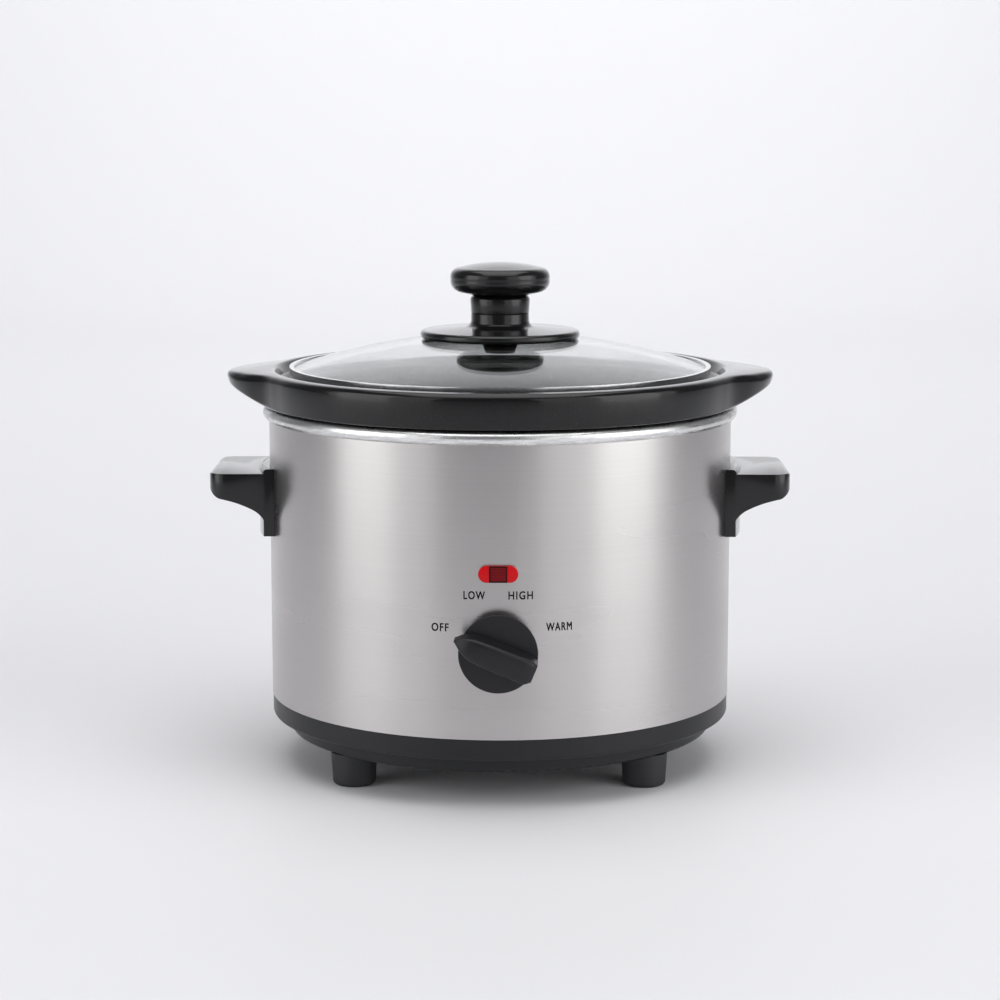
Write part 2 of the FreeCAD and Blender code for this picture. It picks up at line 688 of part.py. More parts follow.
FOOT_CORNERS = [
    ("front_left", "-1 *", "-1 *"),
    ("front_right", "1 *", "-1 *"),
    ("rear_left", "-1 *", "1 *"),
    ("rear_right", "1 *", "1 *"),
]


def make_base():
    """Moulded tray: two outer bands, a spigot inside the jacket, foot bosses and floor vents."""
    spigot = f"({SHELL_INNER} - fit_gap)"
    tray = turned("tray", [
        ("0", "foot_height"),
        (f"{LOWER_BAND_RADIUS} - 0.6", "foot_height"),
        (LOWER_BAND_RADIUS, STEP_HEIGHT),
        (BASE_RADIUS, STEP_HEIGHT),
        (BASE_RADIUS, SHELL_BOTTOM),
        (spigot, SHELL_BOTTOM),
        (spigot, f"{SHELL_BOTTOM} + spigot_height"),
        (f"{spigot} - base_wall", f"{SHELL_BOTTOM} + spigot_height"),
        (f"{spigot} - base_wall", f"{STEP_HEIGHT} + base_wall"),
        (f"{LOWER_BAND_RADIUS} - base_wall", f"{STEP_HEIGHT} + base_wall"),
        (f"{LOWER_BAND_RADIUS} - base_wall", FLOOR_TOP),
        ("0", FLOOR_TOP),
    ])
    round_rings(tray, "base_edge", (f"{LOWER_BAND_RADIUS} - 0.6", "foot_height"), (BASE_RADIUS, STEP_HEIGHT))
    boss_height = "lower_band_height + boss_rise"
    bosses = [rod("tie_boss", "tie_boss_radius", boss_height, ("0", "0", "foot_height"))]
    through = f"{boss_height} + 4"
    holes = [rod("tie_hole", "tie_radius + 0.3", through, ("0", "0", "foot_height - 2"))]
    for tag, side, front in FOOT_CORNERS:
        place = (f"{side} {FOOT_X}", f"{front} {FOOT_Y}", "foot_height")
        bosses.append(rod(f"boss_{tag}", "foot_boss_radius", boss_height, place))
        holes.append(rod(f"boss_hole_{tag}", "screw_radius", through, place[:2] + ("foot_height - 2",)))
    vent_count = 12
    for index in range(vent_count):
        vent = DOC.addObject("Part::Box", f"vent_{index}")
        bind(vent, Length="vent_length", Width="vent_width", Height="3 * base_wall")
        angle = 360.0 * (index + 0.5) / vent_count
        turn = FreeCAD.Rotation(FreeCAD.Vector(0, 0, 1), angle)
        start = turn.multVec(FreeCAD.Vector(size("vent_start"), -size("vent_width") / 2, 0))
        vent.Placement = FreeCAD.Placement(start, turn)
        cosine, sine = math.cos(math.radians(angle)), math.sin(math.radians(angle))
        for letter, text in (("x", f"vent_start * {cosine:.9f} + vent_width / 2 * {sine:.9f}"),
                             ("y", f"vent_start * {sine:.9f} - vent_width / 2 * {cosine:.9f}")):
            vent.setExpression(f"Placement.Base.{letter}", bound(text))
        vent.setExpression("Placement.Base.z", bound("foot_height - base_wall"))
        holes.append(vent)
    part("base_tray", cut("base", fuse("base_blank", tray, *bosses), *holes))


def make_feet():
    """Four tapered feet, each held by a screw up through it."""
    screws = []
    for tag, side, front in FOOT_CORNERS:
        x, y = f"{side} {FOOT_X}", f"{front} {FOOT_Y}"
        cone = DOC.addObject("Part::Cone", f"foot_cone_{tag}")
        bind(cone, Radius1="foot_tip_radius", Radius2="foot_top_radius", Height="foot_height - 0.02")
        put(cone, (x, y, "0"))
        DOC.recompute()
        rim = min(range(len(cone.Shape.Edges)),
                  key=lambda index: (cone.Shape.Edges[index].BoundBox.ZMax, -cone.Shape.Edges[index].Length))
        soft = DOC.addObject("Part::Fillet", f"foot_soft_{tag}")
        soft.Base = cone
        soft.Edges = [(rim + 1, size("foot_edge"), size("foot_edge"))]
        recess = rod(f"foot_recess_{tag}", "foot_recess_radius", "foot_height - foot_recess_roof",
                     (x, y, "-0.5"))
        hole = rod(f"foot_hole_{tag}", "screw_radius + 0.3", "2 * foot_height", (x, y, "-1"))
        part(f"foot_{tag}", cut(f"foot_body_{tag}", soft, recess, hole))
        head = rod(f"foot_screw_head_{tag}", "foot_screw_head", "foot_screw_head_height",
                   (x, y, "foot_height - foot_recess_roof - 0.5 - foot_screw_head_height"))
        shank = rod(f"foot_screw_shank_{tag}", "screw_radius - 0.05", "foot_height",
                    (x, y, "foot_height - foot_recess_roof - 0.7"))
        screws.append(fuse(f"foot_screw_{tag}", head, shank))
    part("foot_screws", group("foot_screw_set", screws))


# ---------------------------------------------------------------- handles

def handle_plan(name, inset, bottom, top):
    """The grip's plan, bowed at its outer end, padded between two heights."""
    half = f"(handle_half_width - {inset})"
    corner = f"(shell_radius + handle_corner_reach - {inset})"
    tip = f"(shell_radius + handle_reach - {inset})"
    body = padded(name, "XY_Plane", [
        ("shell_radius * 0.86", f"-1 * {half}"),
        (corner, f"-1 * {half}", (tip, "0")),
        (corner, half),
        ("shell_radius * 0.86", half),
    ], f"({top}) - ({bottom})")
    round_upright(body, "handle_corner", corner, (f"-1 * {half}", half))
    return put(body, ("0", "0", bottom))


def make_handles():
    """A hollow-backed grip on each side, on a flange that wraps the jacket, with two screws."""
    outside = handle_plan("grip_block", "0", HANDLE_BOTTOM, "handle_top")
    hollow = handle_plan("grip_hollow", "handle_wall", f"{HANDLE_BOTTOM} - 4", "(handle_top - handle_wall)")
    reach = "(shell_radius + handle_reach)"
    under = padded("grip_underside", "XZ_Plane", [
        (f"{reach} + 5", f"{HANDLE_BOTTOM} - 6"),
        (f"{reach} + 5", f"{HANDLE_BOTTOM} + handle_drop * 0.80"),
        (f"{reach} - 0.5", f"{HANDLE_BOTTOM} + handle_drop * 0.80",
         (f"{reach} - 1.9", f"{HANDLE_BOTTOM} + handle_drop * 0.685")),
        (f"{reach} - 5", f"{HANDLE_BOTTOM} + handle_drop * 0.60",
         ("shell_radius + 11.5", f"{HANDLE_BOTTOM} + handle_drop * 0.53")),
        ("shell_radius + 4.5", f"{HANDLE_BOTTOM} + handle_drop * 0.41",
         ("shell_radius + 2.4", f"{HANDLE_BOTTOM} + handle_drop * 0.345")),
        ("shell_radius + 1", f"{HANDLE_BOTTOM} + handle_drop * 0.28"),
        ("shell_radius - 0.6", f"{HANDLE_BOTTOM} + handle_drop * 0.15"),
        ("shell_radius - 2", f"{HANDLE_BOTTOM} - 6"),
    ], "4 * handle_half_width", midplane=True)
    nose = padded("grip_nose", "XZ_Plane", [
        (f"{reach} - handle_nose", "handle_top + 3"),
        (f"{reach} - handle_nose", "handle_top",
         (f"{reach} - handle_nose * 0.293", "handle_top - handle_nose * 0.293")),
        (reach, "handle_top - handle_nose"),
        (f"{reach} + 5", "handle_top - handle_nose"),
        (f"{reach} + 5", "handle_top + 3"),
    ], "4 * handle_half_width", midplane=True)
    walls = cut("grip_walls", outside, under, hollow, nose)

    segment = block("flange_span", ("shell_radius * 0.8", "-1 * handle_half_width", HANDLE_BOTTOM),
                    ("shell_radius * 0.4", "2 * handle_half_width", "handle_drop + handle_rib"))
    ring = turned("flange_ring", [
        ("shell_radius - 1", HANDLE_BOTTOM),
        ("shell_radius + handle_flange", HANDLE_BOTTOM),
        ("shell_radius + handle_flange", "handle_top + handle_rib"),
        ("shell_radius - 1", "handle_top + handle_rib"),
    ])
    round_rings(ring, "handle_edge", ("shell_radius + handle_flange", "handle_top + handle_rib"))
    flange = common("flange", segment, ring)
    bosses, holes = [], []
    for tag, sign in (("front", "-1 *"), ("rear", "1 *")):
        y = f"{sign} handle_screw_offset"
        bosses.append(rod(f"grip_boss_{tag}", "grip_boss_radius", "grip_boss_length",
                          ("shell_radius - 3", y, HANDLE_SCREW_HEIGHT), "x"))
        holes.append(rod(f"grip_hole_{tag}", "screw_radius", "grip_boss_length - 0.5",
                         ("shell_radius - 4", y, HANDLE_SCREW_HEIGHT), "x"))
    core = rod("jacket_core", "shell_radius + 0.02", "2 * handle_drop", ("0", "0", f"{HANDLE_BOTTOM} - 9"))
    right = cut("grip_right", fuse("grip_solid", walls, flange, *bosses), core, *holes)
    part("right_handle", right)
    part("left_handle", mirrored("grip_left", right))


def make_handle_fixings():
    """Curved steel plates inside the jacket, and the screws that pass through them into the grips."""
    plate_bottom = f"{HANDLE_SCREW_HEIGHT} - plate_height / 2"
    plate_inner = f"({SHELL_INNER} - plate_thickness)"
    plate_ring = tube("plate_ring", f"{SHELL_INNER} - 0.02", plate_inner, "plate_height",
                      ("0", "0", plate_bottom))
    span = block("plate_span",
                 ("shell_radius * 0.7", "-1 * handle_screw_offset - plate_margin", plate_bottom),
                 ("shell_radius * 0.4", "2 * (handle_screw_offset + plate_margin)", "plate_height"))
    holes = [rod(f"plate_hole_{tag}", "screw_radius + 0.2", "shell_radius",
                 ("shell_radius * 0.5", f"{sign} handle_screw_offset", HANDLE_SCREW_HEIGHT), "x")
             for tag, sign in (("front", "-1 *"), ("rear", "1 *"))]
    right = cut("plate_right", common("plate_blank", plate_ring, span), *holes)
    part("right_handle_plate", right)
    part("left_handle_plate", mirrored("plate_left", right))

    screws = []
    seat = f"({plate_inner} * {plate_inner} - handle_screw_offset * handle_screw_offset)"
    head_face = f"(sqrt{seat} - 0.7)"
    for tag, sign in (("front", "-1 *"), ("rear", "1 *")):
        y = f"{sign} handle_screw_offset"
        head = rod(f"grip_screw_head_{tag}", "grip_screw_head", "grip_screw_head_height",
                   (f"{head_face} - grip_screw_head_height", y, HANDLE_SCREW_HEIGHT), "x")
        shank = rod(f"grip_screw_shank_{tag}", "screw_radius - 0.05", "grip_screw_length",
                    (f"{head_face} - 0.1", y, HANDLE_SCREW_HEIGHT), "x")
        screw = fuse(f"grip_screw_{tag}", head, shank)
        screws += [screw, mirrored(f"grip_screw_left_{tag}", screw)]
    part("handle_screws", group("handle_screw_set", screws))


# ---------------------------------------------------------------- dial and switch

def make_dial():
    """Dial with its pointer bar, sprung onto the switch spindle; at rest it points at off."""
    disc = rod("dial_disc", "dial_radius", "dial_thickness", ("0", f"-1 * {DIAL_FRONT}", "0"), "y")
    bar = padded("dial_bar", "XZ_Plane", [
        ("pointer_reach", "0"),
        ("pointer_reach * 0.62", "pointer_half_width * 0.86",
         ("pointer_reach * 0.18", "pointer_half_width * 1.02")),
        ("-0.5 * pointer_reach", "pointer_half_width"),
        ("-0.97 * dial_radius", "pointer_half_width * 0.62", ("-0.995 * dial_radius", "0.01")),
        ("-0.97 * dial_radius", "-0.62 * pointer_half_width"),
        ("-0.5 * pointer_reach", "-1 * pointer_half_width",
         ("pointer_reach * 0.18", "-1.02 * pointer_half_width")),
        ("pointer_reach * 0.62", "-0.86 * pointer_half_width"),
    ], "pointer_depth + 1")
    put(bar, ("0", f"-1 * ({DIAL_FRONT} - 1)", "0"))
    recess = rod("dial_recess_tool", "dial_radius - 2.2", "dial_recess + 1",
                 ("0", f"-1 * ({DIAL_BACK} + dial_recess)", "0"), "y")
    socket = rod("dial_socket", "spindle_radius + spindle_play", "dial_recess + 8",
                 ("0", f"-1 * ({DIAL_BACK} + dial_recess + 7)", "0"), "y")
    clip_seat = rod("dial_clip_seat", "spindle_radius + 1.25", "2.05",
                    ("0", f"-1 * ({DIAL_BACK} + dial_recess + 2)", "0"), "y")
    solid = cut("dial_solid", fuse("dial_blank", disc, bar), recess, socket, clip_seat)
    solid.Placement = FreeCAD.Placement(FreeCAD.Vector(0, 0, size("dial_height")),
                                        FreeCAD.Rotation(FreeCAD.Vector(0, -1, 0), size("off_angle")))
    bind(solid, **{"Placement.Base.z": "dial_height", "Placement.Rotation.Angle": "off_angle"})
    part("control_knob", solid)


def make_switch():
    """Rotary switch behind the jacket: case, back plate, tabs, fixing nut, and the turning spindle."""
    half = "switch_size / 2"
    case = block("case", (f"-1 * {half}", f"-1 * {SWITCH_FRONT}", f"dial_height - {half}"),
                 ("switch_size", "switch_depth - 2", "switch_size"))
    bush_length = f"{SHELL_INNER} - {SWITCH_FRONT} + 3"
    bush = rod("bush", "bush_radius", f"{bush_length} + 1",
               ("0", f"-1 * ({SWITCH_FRONT} + {bush_length})", "dial_height"), "y")
    cavity = rod("case_cavity", "switch_size * 0.38", "switch_depth",
                 ("0", f"-1 * ({SWITCH_FRONT} - 2)", "dial_height"), "y")
    bore = rod("bush_bore", "spindle_radius + spindle_play", "switch_depth + 16.5",
               ("0", "-1 * shell_radius - 10", "dial_height"), "y")
    part("switch_body", cut("switch_case", fuse("case_blank", case, bush), cavity, bore))

    back_y = f"-1 * ({SWITCH_BACK} + 2)"
    back = block("back_sheet", (f"-1 * {half}", back_y, f"dial_height - {half}"),
                 ("switch_size", "2", "switch_size"))
    tabs, slots = [], []
    for index, offset in enumerate(("-8.5", "-3", "3", "8.5")):
        low = (f"{offset} - tab_width / 2", f"{back_y} + 0.05", "dial_height - switch_size * 0.30")
        tabs.append(block(f"tab_{index}", low, ("tab_width", "tab_length", "tab_thickness")))
        slots.append(block(f"tab_slot_{index}", low, ("tab_width", "tab_length", "tab_thickness")))
    part("switch_back", cut("back", back, *slots))
    part("switch_terminals", group("tabs", tabs))
    nut = hexagon("nut_blank", "switch_nut_radius", "switch_nut_height",
                  ("0", "-1 * (shell_radius + switch_nut_height + 0.05)", "dial_height"), "y")
    hole = rod("nut_hole", "bush_radius + 0.01", "6", ("0", "-1 * (shell_radius + 4)", "dial_height"), "y")
    part("switch_nut", cut("nut", nut, hole))

    spindle_back = f"({SWITCH_BACK} + 3.2)"
    spindle = rod("spindle_bar", "spindle_radius", f"{DIAL_BACK} + dial_recess + 6 - {spindle_back}",
                  ("0", f"-1 * ({DIAL_BACK} + dial_recess + 6)", "dial_height"), "y")
    part("switch_shaft", spindle)
    rotor = tube("rotor_disc", "switch_size * 0.38 - 0.6", "spindle_radius + 0.02", "switch_depth - 7.5",
                 ("0", f"-1 * ({SWITCH_FRONT} - 3.2)", "dial_height"), "y")
    part("switch_rotor", rotor)
    part("knob_clip", tube("clip", "spindle_radius + 1.2", "spindle_radius + spindle_play + 0.02", "2",
                           ("0", f"-1 * ({DIAL_BACK} + dial_recess + 1.98)", "dial_height"), "y"))


def make_lamp():
    """Red lens through the jacket, its push-on clip, and the neon with its resistor behind it."""
    y_face = "-1 * (shell_radius + lamp_proud)"
    flange = slot("lens_flange", "lamp_width", "lamp_tall", "lamp_proud + 0.5", ("0", y_face, "lamp_height"))
    narrow = ("lamp_width - 2 * lamp_lip - 0.2", "lamp_tall - 2 * lamp_lip - 0.2")
    body = slot("lens_body", *narrow, "lamp_proud + lens_depth", ("0", y_face, "lamp_height"))
    inside = slot("lens_inside", f"{narrow[0]} - 1.6", f"{narrow[1]} - 1.2", "6",
                  ("0", f"{y_face} + 2.6", "lamp_height"))
    jacket = rod("lens_jacket", "shell_radius + 0.01", "30", ("0", "0", "lamp_height - 15"))
    seat = cut("lens_seat", flange, jacket)
    part("indicator_lens", cut("lens", fuse("lens_blank", seat, body), inside))
    clip_y = f"-1 * ({SHELL_INNER} - 1.5)"
    ring = slot("lens_clip_blank", "lamp_width + 2", "lamp_tall + 2", "0.6", ("0", clip_y, "lamp_height"))
    gap = slot("lens_clip_hole", f"{narrow[0]} + 0.04", f"{narrow[1]} + 0.04", "3",
               ("0", f"{clip_y} - 1", "lamp_height"))
    part("lens_clip", cut("lens_ring", ring, gap))
    part("neon_lamp", rod("bulb", "bulb_radius", "bulb_length",
                          ("-1 * bulb_length / 2", f"{y_face} + 4.2", "lamp_height"), "x"))
    part("lamp_resistor", rod("resistor", "resistor_radius", "resistor_length",
                              ("9.5", "-1 * shell_radius + 4.2", "lamp_height - 9")))


# ---------------------------------------------------------------- heating and electrical

def make_heater():
    """Heating band round the well, open at the front, held by two thin straps."""
    outside = f"({LINER_RADIUS} + heater_thickness)"
    ring = tube("heater_ring", outside, f"{LINER_RADIUS} + 0.02", "heater_height", ("0", "0", HEATER_BOTTOM))
    opening = block("heater_opening_tool",
                    ("-1 * heater_opening / 2", "-1 * shell_radius", f"{HEATER_BOTTOM} - 1"),
                    ("heater_opening", "shell_radius", "heater_height + 2"))
    part("heater_band", cut("heater", ring, opening))
    hooks = []
    for tag, share in (("low", 0.2), ("high", 0.8)):
        band = tube(f"clamp_wrap_{tag}", f"{outside} + 0.9", f"{outside} + 0.03", "heater_strap_width",
                    ("0", "0", f"{HEATER_BOTTOM} + heater_height * {share} - heater_strap_width / 2"))
        gap = block(f"clamp_gap_{tag}", ("-1 * heater_opening / 2", "-1 * shell_radius", HEATER_BOTTOM),
                    ("heater_opening", "shell_radius", "heater_height"))
        hooks.append(cut(f"clamp_strip_{tag}", band, gap))
    part("heater_straps", group("strap_set", hooks))

    fuse_z = f"{LINER_FLOOR} - 4.2"
    part("thermal_fuse", rod("fuse_barrel", "fuse_radius", "fuse_length", ("-38", "18", fuse_z), "x"))
    strap = block("fuse_strap", ("-35", "11", f"{fuse_z} - 3.1"), ("7", "14", "7.28"))
    strap_core = block("fuse_strap_core", ("-36", "12", f"{fuse_z} - 2.3"), ("9", "12", "5.6"))
    part("fuse_bracket", cut("fuse_saddle", strap, strap_core))


def make_tie():
    """The rod that clamps the well, jacket and base together, from a strap under the well to the base."""
    strap = block("strap_bar", ("-1 * liner_strap_length / 2", "-1 * liner_strap_width / 2",
                                f"{LINER_FLOOR} - liner_strap_thickness"),
                  ("liner_strap_length", "liner_strap_width", "liner_strap_thickness - 0.02"))
    nut_bottom = f"({LINER_FLOOR} - liner_strap_thickness - strap_nut_height)"
    nut = hexagon("strap_nut_blank", "strap_nut_radius", "strap_nut_height", ("0", "0", nut_bottom))
    hole = rod("strap_hole", "tie_radius + 0.05", "strap_nut_height + 3", ("0", "0", f"{nut_bottom} - 0.5"))
    part("liner_strap", cut("strap", strap, hole))
    part("strap_nut", cut("strap_nut_tapped", nut, hole))
    part("tie_rod", rod("tie_bar", "tie_radius", f"{LINER_FLOOR} - foot_height + 3.4",
                        ("0", "0", "foot_height - 4")))
    washer_bottom = "foot_height - 0.02 - tie_washer_thickness"
    part("tie_washer", tube("tie_washer_ring", "tie_washer_radius", "tie_radius + 0.05",
                            "tie_washer_thickness", ("0", "0", washer_bottom)))
    tie_nut = hexagon("tie_nut_blank", "tie_nut_radius", "tie_nut_height",
                      ("0", "0", f"{washer_bottom} - 0.02 - tie_nut_height"))
    tie_hole = rod("tie_nut_hole", "tie_radius + 0.02", "tie_nut_height + 2",
                   ("0", "0", f"{washer_bottom} - 1 - tie_nut_height"))
    part("tie_nut", cut("tie_nut_tapped", tie_nut, tie_hole))


def make_supply():
    """Cord gland at the rear, and the terminal block on the base floor with its earth tag."""
    def at(y_text):
        return ("0", y_text, "gland_height")
    start = "(shell_radius - gland_barrel)"
    gland = fuse("gland_blank",
                 rod("gland_sleeve", "gland_radius", "gland_barrel + 0.5", at(start), "y"),
                 rod("gland_inner_lip", "gland_radius + gland_lip", "gland_lip_width",
                     at(f"{SHELL_INNER} - 1.2 - gland_lip_width"), "y"))
    nose = DOC.addObject("Part::Cone", "gland_nose")
    bind(nose, Radius1="gland_radius + 2", Radius2="gland_radius - 0.6", Height="gland_length")
    put(nose, at("shell_radius"), "y")

    # The lead's bore is in the nose alone; behind it the sleeve widens into the chamber of the lead's clamp.
    bore = rod("gland_hole_tool", "gland_bore", "gland_length + 2", at("shell_radius"), "y")
    chamber = rod("gland_chamber_tool", "gland_chamber", "gland_barrel + 2 + gland_chamber_end",
                  at(f"{start} - 2"), "y")
    part("cord_gland", cut("gland", fuse("gland_solid", gland, nose), bore, chamber))

    x, y = "26", "46"
    body = block("terminal_body", (f"{x} - terminal_length / 2", f"{y} - terminal_width / 2", FLOOR_TOP),
                 ("terminal_length", "terminal_width", "terminal_height"))
    wells, screws = [], []
    for index, offset in enumerate(("-8", "0", "8")):
        wells.append(rod(f"terminal_well_{index}", "terminal_screw_radius + 0.2", "terminal_height + 1",
                         (f"{x} + {offset}", y, f"{FLOOR_TOP} + 3.5")))
        screws.append(rod(f"terminal_screw_{index}", "terminal_screw_radius", "5",
                          (f"{x} + {offset}", y, f"{FLOOR_TOP} + 3.6")))
    part("terminal_block", cut("terminal_moulding", body, *wells))
    part("terminal_screws", group("terminal_screw_set", screws))
    tag = block("earth_blank", ("20", "-5", f"{LINER_FLOOR} - 2.4"), ("11", "8", "0.85"))
    hole = rod("earth_hole", "1.9", "6", ("27", "-1", f"{LINER_FLOOR} - 4"))
    part("earth_tag", cut("earth_sheet", tag, hole))
    part("earth_screw", rod("earth_pin", "1.85", "3.2", ("27", "-1", f"{LINER_FLOOR} - 4.7")))


def wire(name, points):
    """An insulated lead: straight runs joined by arcs, swept with a round section."""
    places = [FreeCAD.Vector(*[size(text) for text in point]) for point in points]
    radius = size("wire_radius")
    edges, start = [], places[0]
    for before, corner, after in zip(places, places[1:], places[2:]):
        back, forward = (before - corner), (after - corner)
        shorter = min(back.Length, forward.Length)
        back.normalize()
        forward.normalize()
        turn = math.pi - back.getAngle(forward)
        setback = 0.45 * shorter
        bend = setback / math.tan(turn / 2)
        enter, leave = corner + back * setback, corner + forward * setback
        middle_way = back + forward
        middle_way.normalize()
        middle = corner + middle_way * (bend / math.cos(turn / 2) - bend)
        edges += [Part.LineSegment(start, enter).toShape(), Part.Arc(enter, middle, leave).toShape()]
        start = leave
    edges.append(Part.LineSegment(start, places[-1]).toShape())
    path = Part.Wire(edges)
    section = Part.Wire([Part.Circle(places[0], places[1] - places[0], radius).toShape()])
    lead = DOC.addObject("Part::Feature", name)
    lead.Shape = path.makePipeShell([section], True, False)
    expected = math.pi * radius ** 2 * path.Length
    if abs(lead.Shape.Volume - expected) > 0.03 * expected:
        raise ValueError(f"{name}: volume {lead.Shape.Volume:.0f}, expected {expected:.0f}")
    return lead


def make_wires():
    """Leads from the terminal block to the switch, heating band, lamp, fuse and earth."""
    tab_y = f"-1 * {SWITCH_BACK} + 7.7"
    tab_z = "dial_height - switch_size * 0.30 + 0.4"
    block_top = f"{FLOOR_TOP} + 9.2"
    band_end = f"({LINER_RADIUS} + 2.4)"
    leads = [
        wire("lead_live", [("18", "46", block_top), ("18", "44", "38"), ("14", "10", "48"),
                           ("9", "-38", "50"), ("8.5", tab_y, tab_z)]),
        wire("lead_fuse", [("26", "46", block_top), ("24", "42", "42"), ("8", "34", "60"),
                           ("-8", "18.2", f"{LINER_FLOOR} - 4.4"), ("-24.9", "18", f"{LINER_FLOOR} - 4.2")]),
        wire("lead_high", [("3", tab_y, tab_z), ("4", "-50", "44"), ("34", "-62", "46"),
                           (f"{band_end} * 0.589", f"-0.770 * {band_end}", "62"),
                           (f"{band_end} * 0.611", f"-0.792 * {band_end}", f"{HEATER_BOTTOM} - 0.3")]),
        wire("lead_low", [("-3", tab_y, tab_z), ("-4", "-50", "46"), ("-34", "-62", "48"),
                          (f"-0.589 * {band_end}", f"-0.770 * {band_end}", "62"),
                          (f"-0.611 * {band_end}", f"-0.792 * {band_end}", f"{HEATER_BOTTOM} - 0.3")]),
        wire("lead_earth", [("34", "46", block_top), ("36", "42", "40"), ("38", "16", "58"),
                            ("37", "-1", "70"), ("32.2", "-1", f"{LINER_FLOOR} - 2.2")]),
    ]
    part("internal_leads", group("lead_set", leads))


# ---------------------------------------------------------------- build and export

def check_document():
    """Stop on any object that failed to recompute and on any sub-part without a sound shape."""
    for thing in DOC.Objects:
        if "Invalid" in thing.State or "Error" in thing.State:
            raise RuntimeError(f"{thing.Label} failed: {thing.State}")
    for name, thing in PARTS.items():
        if thing.Shape.isNull() or not thing.Shape.isValid() or not thing.Shape.Solids:
            raise RuntimeError(f"{name} has no sound solid")
        if thing.Label != name:
            raise RuntimeError(f"{name} is labelled {thing.Label}")


def export_parts():
    """Write each sub-part's solids to its own file."""
    os.makedirs("parts", exist_ok=True)
    for name, thing in PARTS.items():
        thing.Shape.exportStep(f"parts/{name}.step")
        print(f"{name:20s} {len(thing.Shape.Solids):2d} solid(s) {thing.Shape.Volume / 1000:9.2f} cm3")


fill_sheet()
make_glass()
make_lid_band()
make_lid_fittings()
make_crock()
make_shell()
make_liner()
make_base()
make_feet()
make_handles()
make_handle_fixings()
make_dial()
make_switch()
make_lamp()
make_heater()
make_tie()
make_supply()
make_wires()
DOC.recompute()
check_document()
export_parts()
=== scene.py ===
"""A round slow cooker with a lift-out stoneware crock: the finishes and the softer shapes of its pieces."""

import json
import math

import bpy
from mathutils import Euler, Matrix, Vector

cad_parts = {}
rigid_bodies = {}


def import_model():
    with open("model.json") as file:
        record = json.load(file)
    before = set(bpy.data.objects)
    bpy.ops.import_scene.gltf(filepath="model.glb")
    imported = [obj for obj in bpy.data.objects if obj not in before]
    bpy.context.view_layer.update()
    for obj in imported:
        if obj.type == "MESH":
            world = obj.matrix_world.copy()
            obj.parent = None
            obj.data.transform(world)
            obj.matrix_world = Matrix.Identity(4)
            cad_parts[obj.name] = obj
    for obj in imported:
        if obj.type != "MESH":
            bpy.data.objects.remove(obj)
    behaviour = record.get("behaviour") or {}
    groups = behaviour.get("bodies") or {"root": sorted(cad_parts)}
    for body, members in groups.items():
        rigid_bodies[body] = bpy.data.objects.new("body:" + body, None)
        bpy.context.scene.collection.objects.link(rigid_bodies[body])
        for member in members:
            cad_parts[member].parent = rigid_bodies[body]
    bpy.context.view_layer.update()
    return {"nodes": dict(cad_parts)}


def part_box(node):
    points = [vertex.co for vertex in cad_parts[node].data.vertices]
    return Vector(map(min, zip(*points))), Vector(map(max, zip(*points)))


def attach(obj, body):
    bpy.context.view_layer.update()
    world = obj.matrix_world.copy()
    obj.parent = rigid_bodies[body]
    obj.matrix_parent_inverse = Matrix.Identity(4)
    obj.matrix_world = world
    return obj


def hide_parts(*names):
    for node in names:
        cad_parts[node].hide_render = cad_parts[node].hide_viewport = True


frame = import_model()
nodes = frame["nodes"]

MM = 0.001


def box_corners(node):
    """The low and high corners of a CAD node's box, in metres."""
    return [Vector(corner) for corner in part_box(node)]


SHELL_RADIUS = box_corners("outer_shell")[1].x
CROCK_LOW, CROCK_HIGH = box_corners("stoneware_crock")
DIAL_BACK = box_corners("control_knob")[1].y
LENS_LOW, LENS_HIGH = box_corners("indicator_lens")
SCREW_LOW = box_corners("lid_screw")[0]
SKIRT_LOW, SKIRT_HIGH = box_corners("knob_skirt")
KNOB_LOW, KNOB_HIGH = box_corners("lid_knob")
SHAFT_LOW, SHAFT_HIGH = box_corners("switch_shaft")
DIAL_HEIGHT = (SHAFT_LOW.z + SHAFT_HIGH.z) / 2
LENS_HEIGHT = (LENS_LOW.z + LENS_HIGH.z) / 2


# ---------------------------------------------------------------- mesh helpers

def deselect():
    """Leave edit mode with nothing selected."""
    if bpy.context.mode != "OBJECT":
        bpy.ops.object.mode_set(mode="OBJECT")
    bpy.ops.object.select_all(action="DESELECT")


def take(piece):
    """Select one piece alone and make it the active one."""
    deselect()
    piece.select_set(True)
    bpy.context.view_layer.objects.active = piece


def settle(piece):
    """Put a piece's place, turn and size into its mesh."""
    take(piece)
    bpy.ops.object.transform_apply(location=True, rotation=True, scale=True)


def clean(piece, gap=0.002 * MM):
    """Merge doubled points and turn every face outwards."""
    take(piece)
    bpy.ops.object.mode_set(mode="EDIT")
    bpy.ops.mesh.select_all(action="SELECT")
    bpy.ops.mesh.remove_doubles(threshold=gap)
    bpy.ops.mesh.normals_make_consistent(inside=False)
    bpy.ops.object.mode_set(mode="OBJECT")


def smooth(piece, degrees=35):
    """Shade smooth, except over edges sharper than the angle."""
    take(piece)
    bpy.ops.object.shade_smooth_by_angle(angle=math.radians(degrees))


def modify(piece, kind, **settings):
    """Add a modifier with its settings and apply it."""
    take(piece)
    modifier = piece.modifiers.new(kind.lower(), kind)
    for name, value in settings.items():
        setattr(modifier, name, value)
    bpy.ops.object.modifier_apply(modifier=modifier.name)


